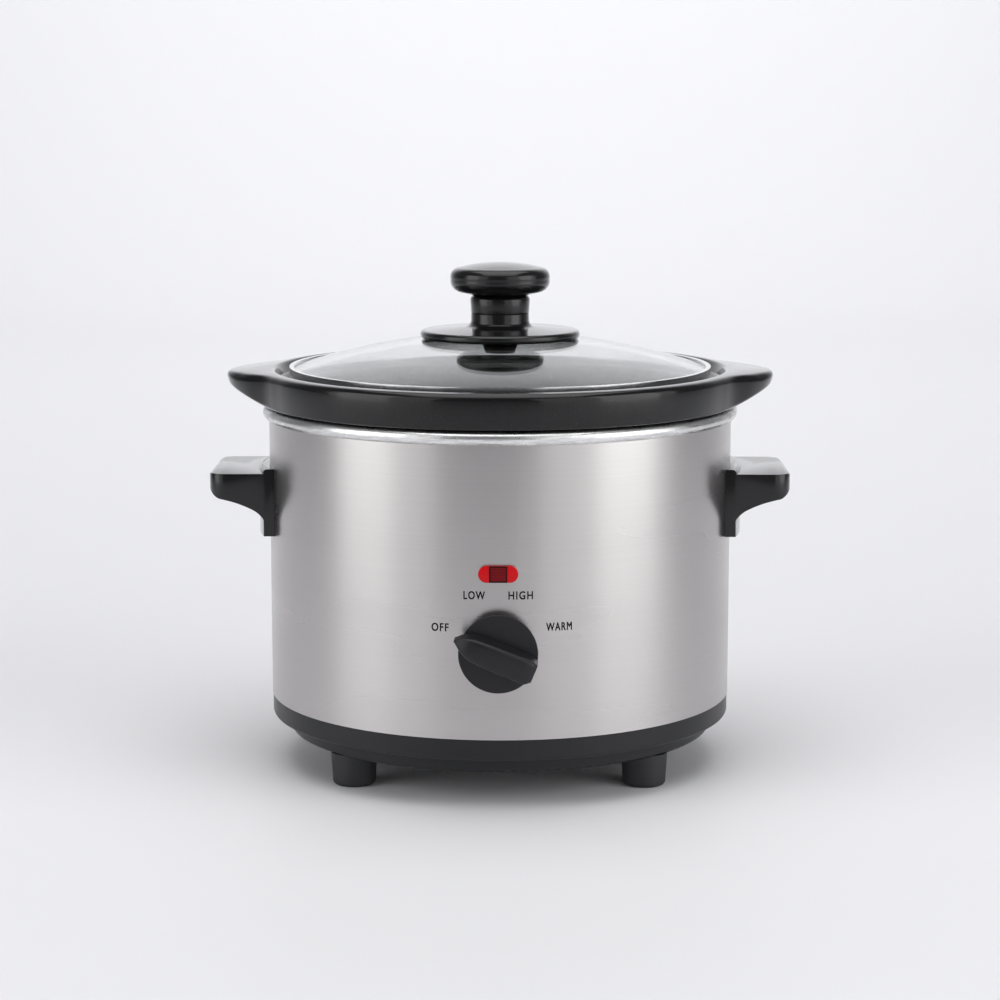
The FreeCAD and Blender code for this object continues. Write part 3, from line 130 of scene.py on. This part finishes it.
def rounded(corners, steps=5):
    """Points along an outline of corners (across, up, rounding); each corner is turned as an arc."""
    points = []
    for index, (across, up, rounding) in enumerate(corners):
        here = Vector((across, up))
        if not rounding:
            points.append(here)
            continue
        back = Vector(corners[index - 1][:2]) - here
        ahead = Vector(corners[(index + 1) % len(corners)][:2]) - here
        half = back.angle(ahead) / 2
        reach = min(rounding / math.tan(half), 0.48 * back.length, 0.48 * ahead.length)
        centre = here + (back.normalized() + ahead.normalized()).normalized() * reach / math.cos(half)
        start = here + back.normalized() * reach - centre
        end = here + ahead.normalized() * reach - centre
        sweep = start.angle(end)
        for step in range(steps + 1):
            share = step / steps
            points.append(centre + (math.sin((1 - share) * sweep) * start
                                    + math.sin(share * sweep) * end) / math.sin(sweep))
    return points


def arc(start, via, end, steps=10):
    """Points on the circle through three points, from the first to the last."""
    (ax, ay), (bx, by), (cx, cy) = start, via, end
    twice = 2 * (ax * (by - cy) + bx * (cy - ay) + cx * (ay - by))
    a2, b2, c2 = ax * ax + ay * ay, bx * bx + by * by, cx * cx + cy * cy
    centre = Vector(((a2 * (by - cy) + b2 * (cy - ay) + c2 * (ay - by)) / twice,
                     (a2 * (cx - bx) + b2 * (ax - cx) + c2 * (bx - ax)) / twice))
    first, last = Vector(start) - centre, Vector(end) - centre
    sweep = first.angle(last)
    return [centre + (math.sin((1 - step / steps) * sweep) * first + math.sin(step / steps * sweep) * last)
            / math.sin(sweep) for step in range(steps + 1)]


def lathe(name, outline, steps=144):
    """A piece turned about Z from an outline of radius and height in millimetres."""
    deselect()
    first = outline[0] * MM
    bpy.ops.mesh.primitive_plane_add(size=MM, location=(first.x, 0, first.y))
    piece = bpy.context.object
    piece.name = name
    bpy.ops.object.mode_set(mode="EDIT")
    bpy.ops.mesh.merge(type="CENTER")
    for start, end in zip(outline, outline[1:]):
        move = (end - start) * MM
        bpy.ops.mesh.extrude_vertices_move(TRANSFORM_OT_translate={"value": (move.x, 0, move.y)})
    bpy.ops.mesh.select_all(action="SELECT")
    bpy.ops.mesh.spin(steps=steps, angle=2 * math.pi, center=(0, 0, 0), axis=(0, 0, 1))
    bpy.ops.object.mode_set(mode="OBJECT")
    settle(piece)
    clean(piece)
    return piece


def softened(name, node, width, degrees=30, segments=3):
    """A merged copy of a CAD node whose sharp edges are rounded."""
    deselect()
    piece = nodes[node].copy()
    piece.data = nodes[node].data.copy()
    piece.name = name
    bpy.context.collection.objects.link(piece)
    take(piece)
    if piece.parent:
        bpy.ops.object.parent_clear(type="CLEAR_KEEP_TRANSFORM")
    piece.data.materials.clear()
    bpy.ops.mesh.customdata_custom_splitnormals_clear()
    bpy.ops.object.mode_set(mode="EDIT")
    bpy.ops.mesh.select_all(action="SELECT")
    bpy.ops.mesh.remove_doubles(threshold=0.001 * MM)
    bpy.ops.mesh.dissolve_limited(angle_limit=math.radians(1.0))
    bpy.ops.object.mode_set(mode="OBJECT")
    modify(piece, "BEVEL", width=width * MM, segments=segments, limit_method="ANGLE",
           angle_limit=math.radians(degrees), harden_normals=False)
    smooth(piece)
    return piece


# ---------------------------------------------------------------- materials

def shader(name, colour, roughness, metallic=0.0, **sockets):
    """A material with a Principled surface; returns it with its node tree's handy parts."""
    finish = bpy.data.materials.new(name)
    finish.use_nodes = True
    tree = finish.node_tree
    surface = tree.nodes["Principled BSDF"]
    surface.inputs["Base Color"].default_value = (*colour, 1.0)
    surface.inputs["Roughness"].default_value = roughness
    surface.inputs["Metallic"].default_value = metallic
    for socket, value in sockets.items():
        surface.inputs[socket.replace("_", " ")].default_value = value
    return finish, tree, surface


def pattern(tree, scale, stretch=(1, 1, 1), detail=4.0, rough=0.55):
    """A noise on Object coordinates; scale is in features per metre, stretch sets it per axis."""
    place = tree.nodes.new("ShaderNodeTexCoord")
    mapping = tree.nodes.new("ShaderNodeMapping")
    mapping.inputs["Scale"].default_value = stretch
    noise = tree.nodes.new("ShaderNodeTexNoise")
    noise.inputs["Scale"].default_value = scale
    noise.inputs["Detail"].default_value = detail
    noise.inputs["Roughness"].default_value = rough
    tree.links.new(place.outputs["Object"], mapping.inputs["Vector"])
    tree.links.new(mapping.outputs["Vector"], noise.inputs["Vector"])
    return noise.outputs["Fac"]


def ranged(tree, value, low, high, start=0.3, end=0.7):
    """Map a pattern's middle range onto low to high."""
    node = tree.nodes.new("ShaderNodeMapRange")
    for socket, number in (("From Min", start), ("From Max", end), ("To Min", low), ("To Max", high)):
        node.inputs[socket].default_value = number
    tree.links.new(value, node.inputs["Value"])
    return node.outputs["Result"]


def tinted(tree, value, dark, light):
    """Two colours mixed by a pattern."""
    node = tree.nodes.new("ShaderNodeMix")
    node.data_type = "RGBA"
    node.inputs["A"].default_value = (*dark, 1.0)
    node.inputs["B"].default_value = (*light, 1.0)
    tree.links.new(value, node.inputs["Factor"])
    return node.outputs["Result"]


def bumped(tree, surface, value, depth):
    """Raise a surface by a pattern, with its depth in millimetres."""
    node = tree.nodes.new("ShaderNodeBump")
    node.inputs["Strength"].default_value = 1.0
    node.inputs["Distance"].default_value = depth * MM
    tree.links.new(value, node.inputs["Height"])
    tree.links.new(node.outputs["Normal"], surface.inputs["Normal"])


def brushed_steel(name, colour, roughness, anisotropy=0.45, depth=0.0003):
    """Steel brushed round Z: long fine scratches, with its shine drawn out across them."""
    finish, tree, surface = shader(name, colour, roughness, 1.0, Anisotropic=anisotropy,
                                   Anisotropic_Rotation=0.25)
    tangent = tree.nodes.new("ShaderNodeTangent")
    tangent.direction_type = "RADIAL"
    tangent.axis = "Z"
    tree.links.new(tangent.outputs["Tangent"], surface.inputs["Tangent"])
    scratches = pattern(tree, 1.0, (4, 4, 6500), 2.0)
    patches = pattern(tree, 1.0, (6, 6, 40), 2.0)
    light = tuple(min(channel * 1.03, 1.0) for channel in colour)
    dark = tuple(channel * 0.97 for channel in colour)
    tree.links.new(tinted(tree, ranged(tree, scratches, 0, 1), dark, light), surface.inputs["Base Color"])
    tree.links.new(ranged(tree, patches, roughness - 0.03, roughness + 0.04), surface.inputs["Roughness"])
    bumped(tree, surface, scratches, depth)
    return finish


def rolled_metal(name, colour, low_rough, high_rough, depth=0.03):
    """Bright sheet metal drawn over a form: small dents, scuffs and dull patches."""
    finish, tree, surface = shader(name, colour, low_rough, 1.0)
    scuffs = pattern(tree, 1.0, (120, 120, 900), 6.0, 0.65)
    dents = pattern(tree, 260.0, detail=3.0)
    dark = tuple(channel * 0.72 for channel in colour)
    tree.links.new(tinted(tree, ranged(tree, scuffs, 0, 1, 0.35, 0.6), dark, colour),
                   surface.inputs["Base Color"])
    tree.links.new(ranged(tree, scuffs, high_rough, low_rough), surface.inputs["Roughness"])
    bumped(tree, surface, dents, depth)
    return finish


def moulded(name, colour, roughness, grain=900.0, depth=0.008, spread=0.05, **sockets):
    """Moulded plastic or rubber: a fine grain and slightly uneven gloss."""
    finish, tree, surface = shader(name, colour, roughness, **sockets)
    tree.links.new(ranged(tree, pattern(tree, 45.0), roughness - spread, roughness + spread),
                   surface.inputs["Roughness"])
    light = tuple(channel * 1.25 for channel in colour)
    tree.links.new(tinted(tree, ranged(tree, pattern(tree, 22.0), 0, 1), colour, light),
                   surface.inputs["Base Color"])
    bumped(tree, surface, pattern(tree, grain, detail=2.0), depth)
    return finish


def glazed(name, colour, roughness):
    """Fired glaze over stoneware: a slow ripple, pinholes and a clear gloss."""
    finish, tree, surface = shader(name, colour, roughness, IOR=1.28, Coat_Weight=1.0, Coat_IOR=1.28,
                                   Coat_Roughness=0.07)
    speckle = ranged(tree, pattern(tree, 1500.0, detail=1.0), 0, 1, 0.68, 0.74)
    tree.links.new(tinted(tree, speckle, colour, tuple(channel * 3.2 for channel in colour)),
                   surface.inputs["Base Color"])
    tree.links.new(ranged(tree, pattern(tree, 38.0), roughness - 0.05, roughness + 0.07),
                   surface.inputs["Roughness"])
    bumped(tree, surface, pattern(tree, 70.0, detail=2.0), 0.05)
    return finish


def clear(name, tint, roughness=0.0, ior=1.5):
    """Clear glass or a clear coloured moulding, with faint smears in its gloss."""
    finish, tree, surface = shader(name, tint, roughness, Transmission_Weight=1.0, IOR=ior)
    tree.links.new(ranged(tree, pattern(tree, 30.0, detail=5.0), roughness, roughness + 0.03, 0.5, 0.8),
                   surface.inputs["Roughness"])
    return finish


FINISHES = {
    "brushed_shell": brushed_steel("brushed_shell", (0.53, 0.512, 0.507), 0.28),
    "liner_metal": rolled_metal("liner_metal", (0.83, 0.83, 0.83), 0.22, 0.42),
    "black_glaze": glazed("black_glaze", (0.006, 0.006, 0.0065), 0.20),
    "lid_glass": clear("lid_glass", (0.97, 0.985, 0.98)),
    "lid_band_steel": brushed_steel("lid_band_steel", (0.80, 0.80, 0.81), 0.14, 0.5, 0.001),
    "gloss_black": moulded("gloss_black", (0.007, 0.007, 0.0078), 0.24, 700.0, 0.002, 0.03, IOR=1.3,
                           Coat_Weight=1.0, Coat_IOR=1.3, Coat_Roughness=0.12),
    "matte_black": moulded("matte_black", (0.011, 0.011, 0.0125), 0.36, 2200.0, 0.006, IOR=1.38),
    "foot_rubber": moulded("foot_rubber", (0.017, 0.017, 0.019), 0.55, 1600.0, 0.014),
    "plated_steel": rolled_metal("plated_steel", (0.62, 0.62, 0.63), 0.25, 0.4, 0.006),
    "brass": rolled_metal("brass", (0.78, 0.58, 0.28), 0.25, 0.42, 0.006),
    "silicone": moulded("silicone", (0.05, 0.05, 0.055), 0.5),
    "black_washer": moulded("black_washer", (0.02, 0.02, 0.022), 0.4),
    "red_lens": moulded("red_lens", (0.50, 0.003, 0.006), 0.32, 500.0, 0.002, IOR=1.3),
    "lamp_glass": clear("lamp_glass", (0.98, 0.80, 0.66), 0.02),
    "foil": rolled_metal("foil", (0.80, 0.80, 0.81), 0.18, 0.4, 0.06),
    "white_ceramic": moulded("white_ceramic", (0.72, 0.70, 0.65), 0.4),
    "phenolic_brown": moulded("phenolic_brown", (0.16, 0.07, 0.035), 0.45),
    "lead_cover": moulded("lead_cover", (0.70, 0.68, 0.62), 0.6, 3000.0, 0.03),
}
WINDOW_EDGE = moulded("window_edge", (0.022, 0.002, 0.003), 0.45, 500.0, 0.002, IOR=1.25)
WINDOW_RED = moulded("window_red", (0.15, 0.004, 0.007), 0.35, 500.0, 0.002, IOR=1.25)


def finish_piece(piece, slot, body, replaced=()):
    """Give a new piece its finish, attach it to the body it rides on, and hide the CAD nodes it replaces.
    """
    piece.data.materials.clear()
    piece.data.materials.append(FINISHES[slot])
    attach(piece, body)
    if replaced:
        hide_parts(*replaced)


def finish_frame():
    """Give every CAD node the finish of its own material slot."""
    for node in nodes.values():
        for holder in node.material_slots:
            holder.material = FINISHES[holder.material.name.split(".")[0]]


# ---------------------------------------------------------------- crock

# Radii, heights and depths in millimetres; depths are measured down from the rim's top.
RIM_RADIUS = 97.0
RIM_DEPTH = 14.2
POT_RADIUS = 83.2
POT_FOOT_RADIUS = 79.8
POT_DRAFT_HEIGHT = 60
SEAT_RADIUS = 90.1
SEAT_DEPTH = 5.1
MOUTH_RADIUS = 77.6
POT_FLOOR = 6
POT_FLOOR_RADIUS = 74.2

# The lug's reach past the round rim, as shares of it at angles from the X axis in degrees.
EAR_REACH = CROCK_HIGH.x / MM - RIM_RADIUS
EAR_EASE = 0.45
EAR_SHARES = [(0.0, 1.0), (2.5, 0.985), (5.3, 0.90), (8.0, 0.77), (9.8, 0.66), (13.7, 0.42),
              (16.3, 0.21), (19.5, 0.07), (25.5, 0.0)]


def ear_share(degrees):
    """How far the lug stands out at an angle from the X axis, as a share of its reach."""
    for (low, near), (high, far) in zip(EAR_SHARES, EAR_SHARES[1:]):
        if degrees <= high:
            return near + (far - near) * (degrees - low) / (high - low)
    return 0.0


def rim_reach(degrees):
    """The rim's outer radius at an angle, eased between the lug's points."""
    folded = abs((degrees + 90) % 180 - 90)
    spread = [abs(folded + EAR_EASE * step) for step in range(-4, 5)]
    return RIM_RADIUS + EAR_REACH * sum(ear_share(angle) for angle in spread) / len(spread)


def crock_outline(reach):
    """The crock's section where its rim reaches out this far."""
    out = reach - RIM_RADIUS
    top = CROCK_HIGH.z / MM
    low = CROCK_LOW.z / MM
    return rounded([
        (0, low, 0), (POT_FOOT_RADIUS, low, 6), (POT_RADIUS, low + POT_DRAFT_HEIGHT, 0),
        (POT_RADIUS, top - RIM_DEPTH, 0.9),
        (95.3 + out * 0.15, top - RIM_DEPTH, 1.2), (96.3 + out * 0.95, top - 13.9 + out * 0.53, 2.2),
        (RIM_RADIUS + out, top - 0.6 - out * 0.04, 2.6 + out * 0.06),
        (91.6, top - 0.1, 1.5), (SEAT_RADIUS, top - 4.8, 0.9), (78.9, top - SEAT_DEPTH, 1.8),
        (MOUTH_RADIUS, top - 7.5, 1.2), (POT_FLOOR_RADIUS, low + POT_FLOOR, 9), (0, low + POT_FLOOR, 0),
    ])


def make_crock():
    """Stoneware pot turned from its section, its rim then drawn out into the two lugs."""
    plain = crock_outline(RIM_RADIUS)
    crock = lathe("crock_glazed", plain, 360)
    lookup = {(round(point.x, 2), round(point.y, 2)): index for index, point in enumerate(plain)}
    shapes = {}
    for vertex in crock.data.vertices:
        radius, height = math.hypot(vertex.co.x, vertex.co.y) / MM, vertex.co.z / MM
        index = lookup.get((round(radius, 2), round(height, 2)))
        if index is None:
            index = min(range(len(plain)), key=lambda n: (plain[n] - Vector((radius, height))).length)
        degrees = round(math.degrees(math.atan2(vertex.co.y, vertex.co.x)), 3)
        if degrees not in shapes:
            shapes[degrees] = crock_outline(rim_reach(degrees))
        place = shapes[degrees][index]
        if radius > 1:
            vertex.co.x *= place.x / radius
            vertex.co.y *= place.x / radius
            vertex.co.z = place.y * MM
    smooth(crock, 50)
    finish_piece(crock, "black_glaze", "crock", ["stoneware_crock"])


# ---------------------------------------------------------------- handles, dial and lamp

GRIP_EASE = 0.7


def make_handles():
    """The two grips with their edges eased."""
    for side in ("left", "right"):
        grip = softened(f"{side}_grip", f"{side}_handle", GRIP_EASE)
        finish_piece(grip, "gloss_black", "housing", [f"{side}_handle"])


# The disc's radii and heights above its back, in millimetres.
DISC_BACK_RADIUS = 14.2
DISC_FACE_RADIUS = 15.1
DISC_THICKNESS = 4.2
HOLLOW_RADIUS = 12.7
HOLLOW_DEPTH = 2.4

# The blade runs along its stations from the blunt tail (negative) to the point, in millimetres:
# half widths, then the heights of its crown and of its foot above the disc's back.
BLADE_MIDDLE = 1.4
BLADE_HALF_LENGTH = 16.4
BLADE_SIDE_SHARES = (1.2, 0.92)
FLANK_HOLLOW, FLANK_HEIGHT, FLANK_SPREAD = 0.85, 9.2, 2.4
FLARE, FLARE_TOP, FLARE_HEIGHT = 0.9, 5.6, 2.6
POINTER_AT_OFF = 157.5
BLADE_WIDTHS = [(-15.0, 3.4), (-14.2, 4.4), (-12.6, 5.0), (-9.0, 5.1), (0.0, 4.9), (6.0, 4.8),
                (10.0, 4.5), (13.0, 3.8), (15.6, 2.5), (16.9, 1.5), (17.8, 0.5)]
BLADE_TOPS = [(-15.0, 11.6), (-13.8, 13.2), (-11.0, 13.9), (0.0, 14.2), (8.0, 14.0), (13.0, 13.0),
              (17.8, 10.6)]
BLADE_FEET = [(-15.0, 3.0), (13.5, 3.0), (15.5, 4.2), (17.8, 7.4)]


def along(stations, place):
    """The value at a place between stations, joined by straight steps."""
    for (low, near), (high, far) in zip(stations, stations[1:]):
        if place <= high:
            return near + (far - near) * max(place - low, 0) / (high - low)
    return stations[-1][1]


def eased(stations, place, spread=0.35):
    """The value between stations with their corners eased."""
    values = [along(stations, place + spread * step) for step in range(-3, 4)]
    return sum(values) / len(values)


def power(value, exponent):
    """A signed power."""
    return math.copysign(abs(value) ** exponent, value)


def make_dial():
    """Dial: a drafted disc and a crowned, pointed blade with hollowed flanks, joined into one piece."""
    dial = lathe("dial_soft", rounded([
        (0, HOLLOW_DEPTH, 0), (HOLLOW_RADIUS, HOLLOW_DEPTH, 0.4), (HOLLOW_RADIUS, 0, 0),
        (DISC_BACK_RADIUS, 0, 0.3), (DISC_FACE_RADIUS, 4.0, 0.1), (14.9, DISC_THICKNESS, 0.1),
        (0, DISC_THICKNESS, 0),
    ]), 128)
    deselect()
    bpy.ops.mesh.primitive_uv_sphere_add(segments=56, ring_count=72, radius=1)
    blade = bpy.context.object
    for vertex in blade.data.vertices:
        station = BLADE_MIDDLE + BLADE_HALF_LENGTH * vertex.co.z
        ring = math.hypot(vertex.co.x, vertex.co.y)
        across, up = (vertex.co.x / ring, vertex.co.y / ring) if ring > 1e-6 else (0, 0)
        foot, top = eased(BLADE_FEET, station), eased(BLADE_TOPS, station)
        close = min(1.0, ring / 0.16) ** 0.5
        height = (foot + top) / 2 + (top - foot) / 2 * power(up, 0.55) * close
        hollow = FLANK_HOLLOW * math.exp(-((height - FLANK_HEIGHT) / FLANK_SPREAD) ** 2)
        hollow -= FLARE * max(0.0, (FLARE_TOP - height) / FLARE_HEIGHT)
        width = eased(BLADE_WIDTHS, station) - hollow * min(1.0, ring * 1.6)
        width *= BLADE_SIDE_SHARES[0] if across > 0 else BLADE_SIDE_SHARES[1]
        vertex.co = (station * MM, power(across, 0.42) * width * close * MM, height * MM)
    clean(blade, 0.01 * MM)
    modify(dial, "BOOLEAN", object=blade, operation="UNION", solver="EXACT")
    bpy.data.objects.remove(blade)
    take(dial)
    dial.rotation_euler = (0, 0, math.radians(POINTER_AT_OFF))
    settle(dial)
    dial.rotation_euler = (math.pi / 2, 0, 0)
    dial.location = (0, DIAL_BACK, DIAL_HEIGHT)
    settle(dial)
    smooth(dial, 40)
    finish_piece(dial, "matte_black", "dial", ["control_knob"])


# The window's panes: name, width, how much shorter than the lens, how proud of it, all in millimetres.
LENS_EASE = 0.5
PANES = [("window_edge", 6.9, 0.1, 0.04), ("window", 5.7, 1.3, 0.10)]
PANE_THICKNESS = 0.5
RIB_DEPTH = 0.07
RIB_PITCH = 1.02


def make_lens():
    """Red lens with a dark, ribbed square window in its middle."""
    lens = softened("lamp_lens", "indicator_lens", LENS_EASE)
    finish_piece(lens, "red_lens", "housing", ["indicator_lens"])
    tall = (LENS_HIGH.z - LENS_LOW.z) / MM
    for name, width, shorter, proud in PANES:
        deselect()
        bpy.ops.mesh.primitive_grid_add(x_subdivisions=6, y_subdivisions=33, size=1)
        pane = bpy.context.object
        pane.name = f"lamp_{name}"
        pane.scale = (width * MM, (tall - shorter) * MM, 1)
        settle(pane)
        if name == "window":
            for vertex in pane.data.vertices:
                vertex.co.z = RIB_DEPTH * math.sin(vertex.co.y / MM * 2 * math.pi / RIB_PITCH) * MM
        modify(pane, "SOLIDIFY", thickness=PANE_THICKNESS * MM, offset=-1)
        pane.rotation_euler = (math.pi / 2, 0, 0)
        pane.location = (0, LENS_LOW.y - proud * MM, LENS_HEIGHT)
        settle(pane)
        smooth(pane, 40)
        finish_piece(pane, "red_lens", "housing")
        pane.data.materials.clear()
        pane.data.materials.append(WINDOW_RED if name == "window" else WINDOW_EDGE)


# ---------------------------------------------------------------- lid fittings

# Radii and depths in millimetres; the head's depths are measured down from the knob's top.
BORE_RADIUS = 3.2
COLLAR_RADIUS = 11.8
SKIRT_RADIUS = 32.4
NECK_TOP_RADIUS = 12.3
HEAD_DEPTH = 12.3
HEAD_RADIUS = 20.1
HEAD_WIDEST = 6.8
CROWN_RADIUS = 16.7
CROWN_DEPTH = 2.1
CAP_THICKNESS = 1.2


def make_lid_fittings():
    """Knob and skirt turned with eased edges, and the black cap over the screw under the glass."""
    seam, low = SKIRT_HIGH.z / MM, SKIRT_LOW.z / MM
    skirt = lathe("skirt_turned", rounded([
        (BORE_RADIUS, low + 2.45, 0), (COLLAR_RADIUS, low + 2.45, 0), (29.8, low, 0.5),
        (SKIRT_RADIUS, low, 1.4), (SKIRT_RADIUS, low + 3.2, 1.55), (COLLAR_RADIUS, low + 4.6, 3.4),
        (COLLAR_RADIUS, seam, 0.25), (BORE_RADIUS, seam, 0),
    ], 8))
    neck, top = KNOB_LOW.z / MM, KNOB_HIGH.z / MM
    stem = rounded([(0, neck, 0), (COLLAR_RADIUS, neck, 0.25), (NECK_TOP_RADIUS, top - HEAD_DEPTH, 1.4)], 6)
    widest, crown = (HEAD_RADIUS, top - HEAD_WIDEST), (CROWN_RADIUS, top - CROWN_DEPTH)
    knob = lathe("knob_turned", stem[:-1]
                 + arc((15.9, top - 12.1), (19.1, top - 10.5), widest)
                 + arc(widest, (19.3, top - 3.4), crown)[1:]
                 + arc(crown, (8.5, top - 0.55), (0, top))[1:])
    for piece, node in ((skirt, "knob_skirt"), (knob, "lid_knob")):
        smooth(piece, 40)
        finish_piece(piece, "gloss_black", "lid", [node])
    head = SCREW_LOW.z / MM
    foot, brim = head - CAP_THICKNESS, head + 2.4
    cap = lathe("screw_cap", rounded([
        (0, foot, 0), (5.9, foot, 1.2), (7.2, brim, 0), (4.8, brim, 0), (4.8, head - 0.2, 0),
        (0, head - 0.2, 0),
    ]), 96)
    smooth(cap)
    finish_piece(cap, "black_washer", "lid")


# ---------------------------------------------------------------- dial marks

# Each mark's word, place along the jacket from the front, height of its middle and width, in millimetres.
MARKS = [("OFF", -22.3, 71.1, 6.7), ("LOW", -9.2, 83.8, 8.2), ("HIGH", 8.5, 83.8, 9.3),
         ("WARM", 23.4, 71.4, 10.1)]
MARK_HEIGHT = 3.05 * MM
CAPITAL_SHARE = 0.70
LETTER_SPACING = 1.2
STROKE_GAIN = 0.16
PRINT_THICKNESS = 0.03
PRINT_GAP = 0.02
INK = moulded("mark_ink", (0.004, 0.004, 0.005), 0.6, 2500.0, 0.002, IOR=1.25)


def make_marks():
    """Plain capitals printed on the jacket round the dial, bent to its curve."""
    for word, across, height, width in MARKS:
        deselect()
        bpy.ops.object.text_add(location=(0, 0, 0))
        letters = bpy.context.object
        letters.data.body = word
        letters.data.align_x = "CENTER"
        letters.data.align_y = "CENTER"
        letters.data.size = MARK_HEIGHT / CAPITAL_SHARE
        letters.data.space_character = LETTER_SPACING
        letters.data.resolution_u = 4
        letters.rotation_euler = (math.pi / 2, 0, 0)
        bpy.ops.object.convert(target="MESH")
        letters.name = f"mark_{word.lower()}"
        letters.scale.x = (width - STROKE_GAIN) * MM / letters.dimensions.x
        settle(letters)
        for shift in ((STROKE_GAIN * MM, 0, 0), (0, 0, STROKE_GAIN * MM)):
            modify(letters, "ARRAY", count=2, use_relative_offset=False, use_constant_offset=True,
                   constant_offset_displace=shift)
        modify(letters, "SOLIDIFY", thickness=PRINT_THICKNESS * MM, offset=0)
        for vertex in letters.data.vertices:
            angle = (vertex.co.x + (across - STROKE_GAIN / 2) * MM) / SHELL_RADIUS
            radius = SHELL_RADIUS + PRINT_GAP * MM - vertex.co.y
            vertex.co = (radius * math.sin(angle), -radius * math.cos(angle), vertex.co.z + height * MM)
        letters.data.materials.clear()
        letters.data.materials.append(INK)
        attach(letters, "housing")


# ---------------------------------------------------------------- stage, light and camera

# The sweep's floor, the radius of its bend and the height of its wall, in metres.
FLOOR_SIZE = (24, 14, 1)
FLOOR_CENTRE = (0, -5.2, 0)
FLOOR_REAR = 1.7
BEND_RADIUS = 0.9
BEND_STEPS = 12
WALL_HEIGHT = 2.5


def make_stage():
    """A pale floor that sweeps up into a backdrop."""
    deselect()
    bpy.ops.mesh.primitive_plane_add(size=1, location=(0, 0, 0))
    floor = bpy.context.object
    floor.name = "studio_sweep"
    floor.scale = FLOOR_SIZE
    floor.location = FLOOR_CENTRE
    settle(floor)
    bpy.ops.object.mode_set(mode="EDIT")
    bpy.ops.mesh.select_mode(type="EDGE")
    bpy.ops.mesh.select_all(action="DESELECT")
    bpy.ops.object.mode_set(mode="OBJECT")
    for edge in floor.data.edges:
        edge.select = all(floor.data.vertices[index].co.y > FLOOR_REAR for index in edge.vertices)
    bpy.ops.object.mode_set(mode="EDIT")
    for step in range(BEND_STEPS):
        start, end = math.pi / 2 * step / BEND_STEPS, math.pi / 2 * (step + 1) / BEND_STEPS
        back, up = math.sin(end) - math.sin(start), math.cos(start) - math.cos(end)
        move = (0, BEND_RADIUS * back, BEND_RADIUS * up)
        bpy.ops.mesh.extrude_edges_move(TRANSFORM_OT_translate={"value": move})
    bpy.ops.mesh.extrude_edges_move(TRANSFORM_OT_translate={"value": (0, 0, WALL_HEIGHT)})
    bpy.ops.object.mode_set(mode="OBJECT")
    smooth(floor, 60)
    finish, tree, surface = shader("studio_paper", (0.82, 0.82, 0.845), 0.5)
    surface.inputs["Specular IOR Level"].default_value = 0.15
    bumped(tree, surface, pattern(tree, 400.0), 0.01)
    floor.data.materials.append(finish)


# Each soft box: name, azimuth in degrees, height, distance, width, tallness in metres, and power in watts.
SOFT_BOXES = [
    ("left_box", -58, 0.45, 1.55, 1.7, 1.4, 7.5),
    ("left_core", -66, 0.45, 1.5, 0.8, 1.3, 4.4),
    ("right_box", 54, 0.45, 1.55, 2.3, 1.4, 10.5),
    ("right_core", 63, 0.45, 1.5, 0.9, 1.3, 6.0),
    ("top_box", 180, 1.7, 0.15, 1.7, 1.2, 12.0),
    ("front_top_box", 0, 1.6, 0.7, 1.8, 0.9, 9.0),
]
BACKDROP_BOX = ("backdrop_box", 180, 2.4, 0.9, 2.6, 0.8, 38)
BACKDROP_AIM = (0, 2.7, 1.1)
BACKDROP_SPREAD = 145
ROOM_COLOUR = (0.96, 0.97, 1.0, 1.0)
ROOM_STRENGTH = 0.12


def soft_box(name, azimuth, height, distance, width, tall, power, aim=(0, 0, 0.1), spread=180):
    """An area light on a stand, aimed at the cooker; azimuth is measured from the camera's side."""
    angle = math.radians(azimuth)
    place = Vector((distance * math.sin(angle), -distance * math.cos(angle), height))
    deselect()
    bpy.ops.object.light_add(type="AREA", location=place)
    lamp = bpy.context.object
    lamp.name = name
    lamp.data.shape = "RECTANGLE"
    lamp.data.size, lamp.data.size_y = width, tall
    lamp.data.energy = power
    lamp.data.spread = math.radians(spread)
    lamp.rotation_euler = (Vector(aim) - place).to_track_quat("-Z", "Y").to_euler()


def make_light():
    """Wide soft boxes with brighter cores on both sides, two overhead, one behind, and a pale room."""
    for box in SOFT_BOXES:
        soft_box(*box)
    soft_box(*BACKDROP_BOX, BACKDROP_AIM, BACKDROP_SPREAD)
    world = bpy.data.worlds.new("pale_room")
    world.use_nodes = True
    background = world.node_tree.nodes["Background"]
    background.inputs["Color"].default_value = ROOM_COLOUR
    background.inputs["Strength"].default_value = ROOM_STRENGTH
    bpy.context.scene.world = world
    bpy.context.scene.view_settings.view_transform = "Standard"


SENSOR_WIDTH = 36.0
FOCAL_LENGTH = 94.93
CAMERA_PLACE = (0.008, -1.06981, 0.27379)
CAMERA_DOWN = 8.927
CAMERA_LEFT = 0.43


def make_camera():
    """The camera, a little above the lid and almost square on to the dial."""
    view = bpy.data.cameras.new("front_view")
    view.sensor_width = SENSOR_WIDTH
    view.lens = FOCAL_LENGTH
    camera = bpy.data.objects.new("front_view", view)
    camera.location = CAMERA_PLACE
    camera.rotation_euler = Euler((math.radians(90 - CAMERA_DOWN), 0, math.radians(CAMERA_LEFT)), "XYZ")
    bpy.context.collection.objects.link(camera)
    bpy.context.scene.camera = camera


finish_frame()
make_crock()
make_handles()
make_dial()
make_lens()
make_lid_fittings()
make_marks()
make_stage()
make_light()
make_camera()
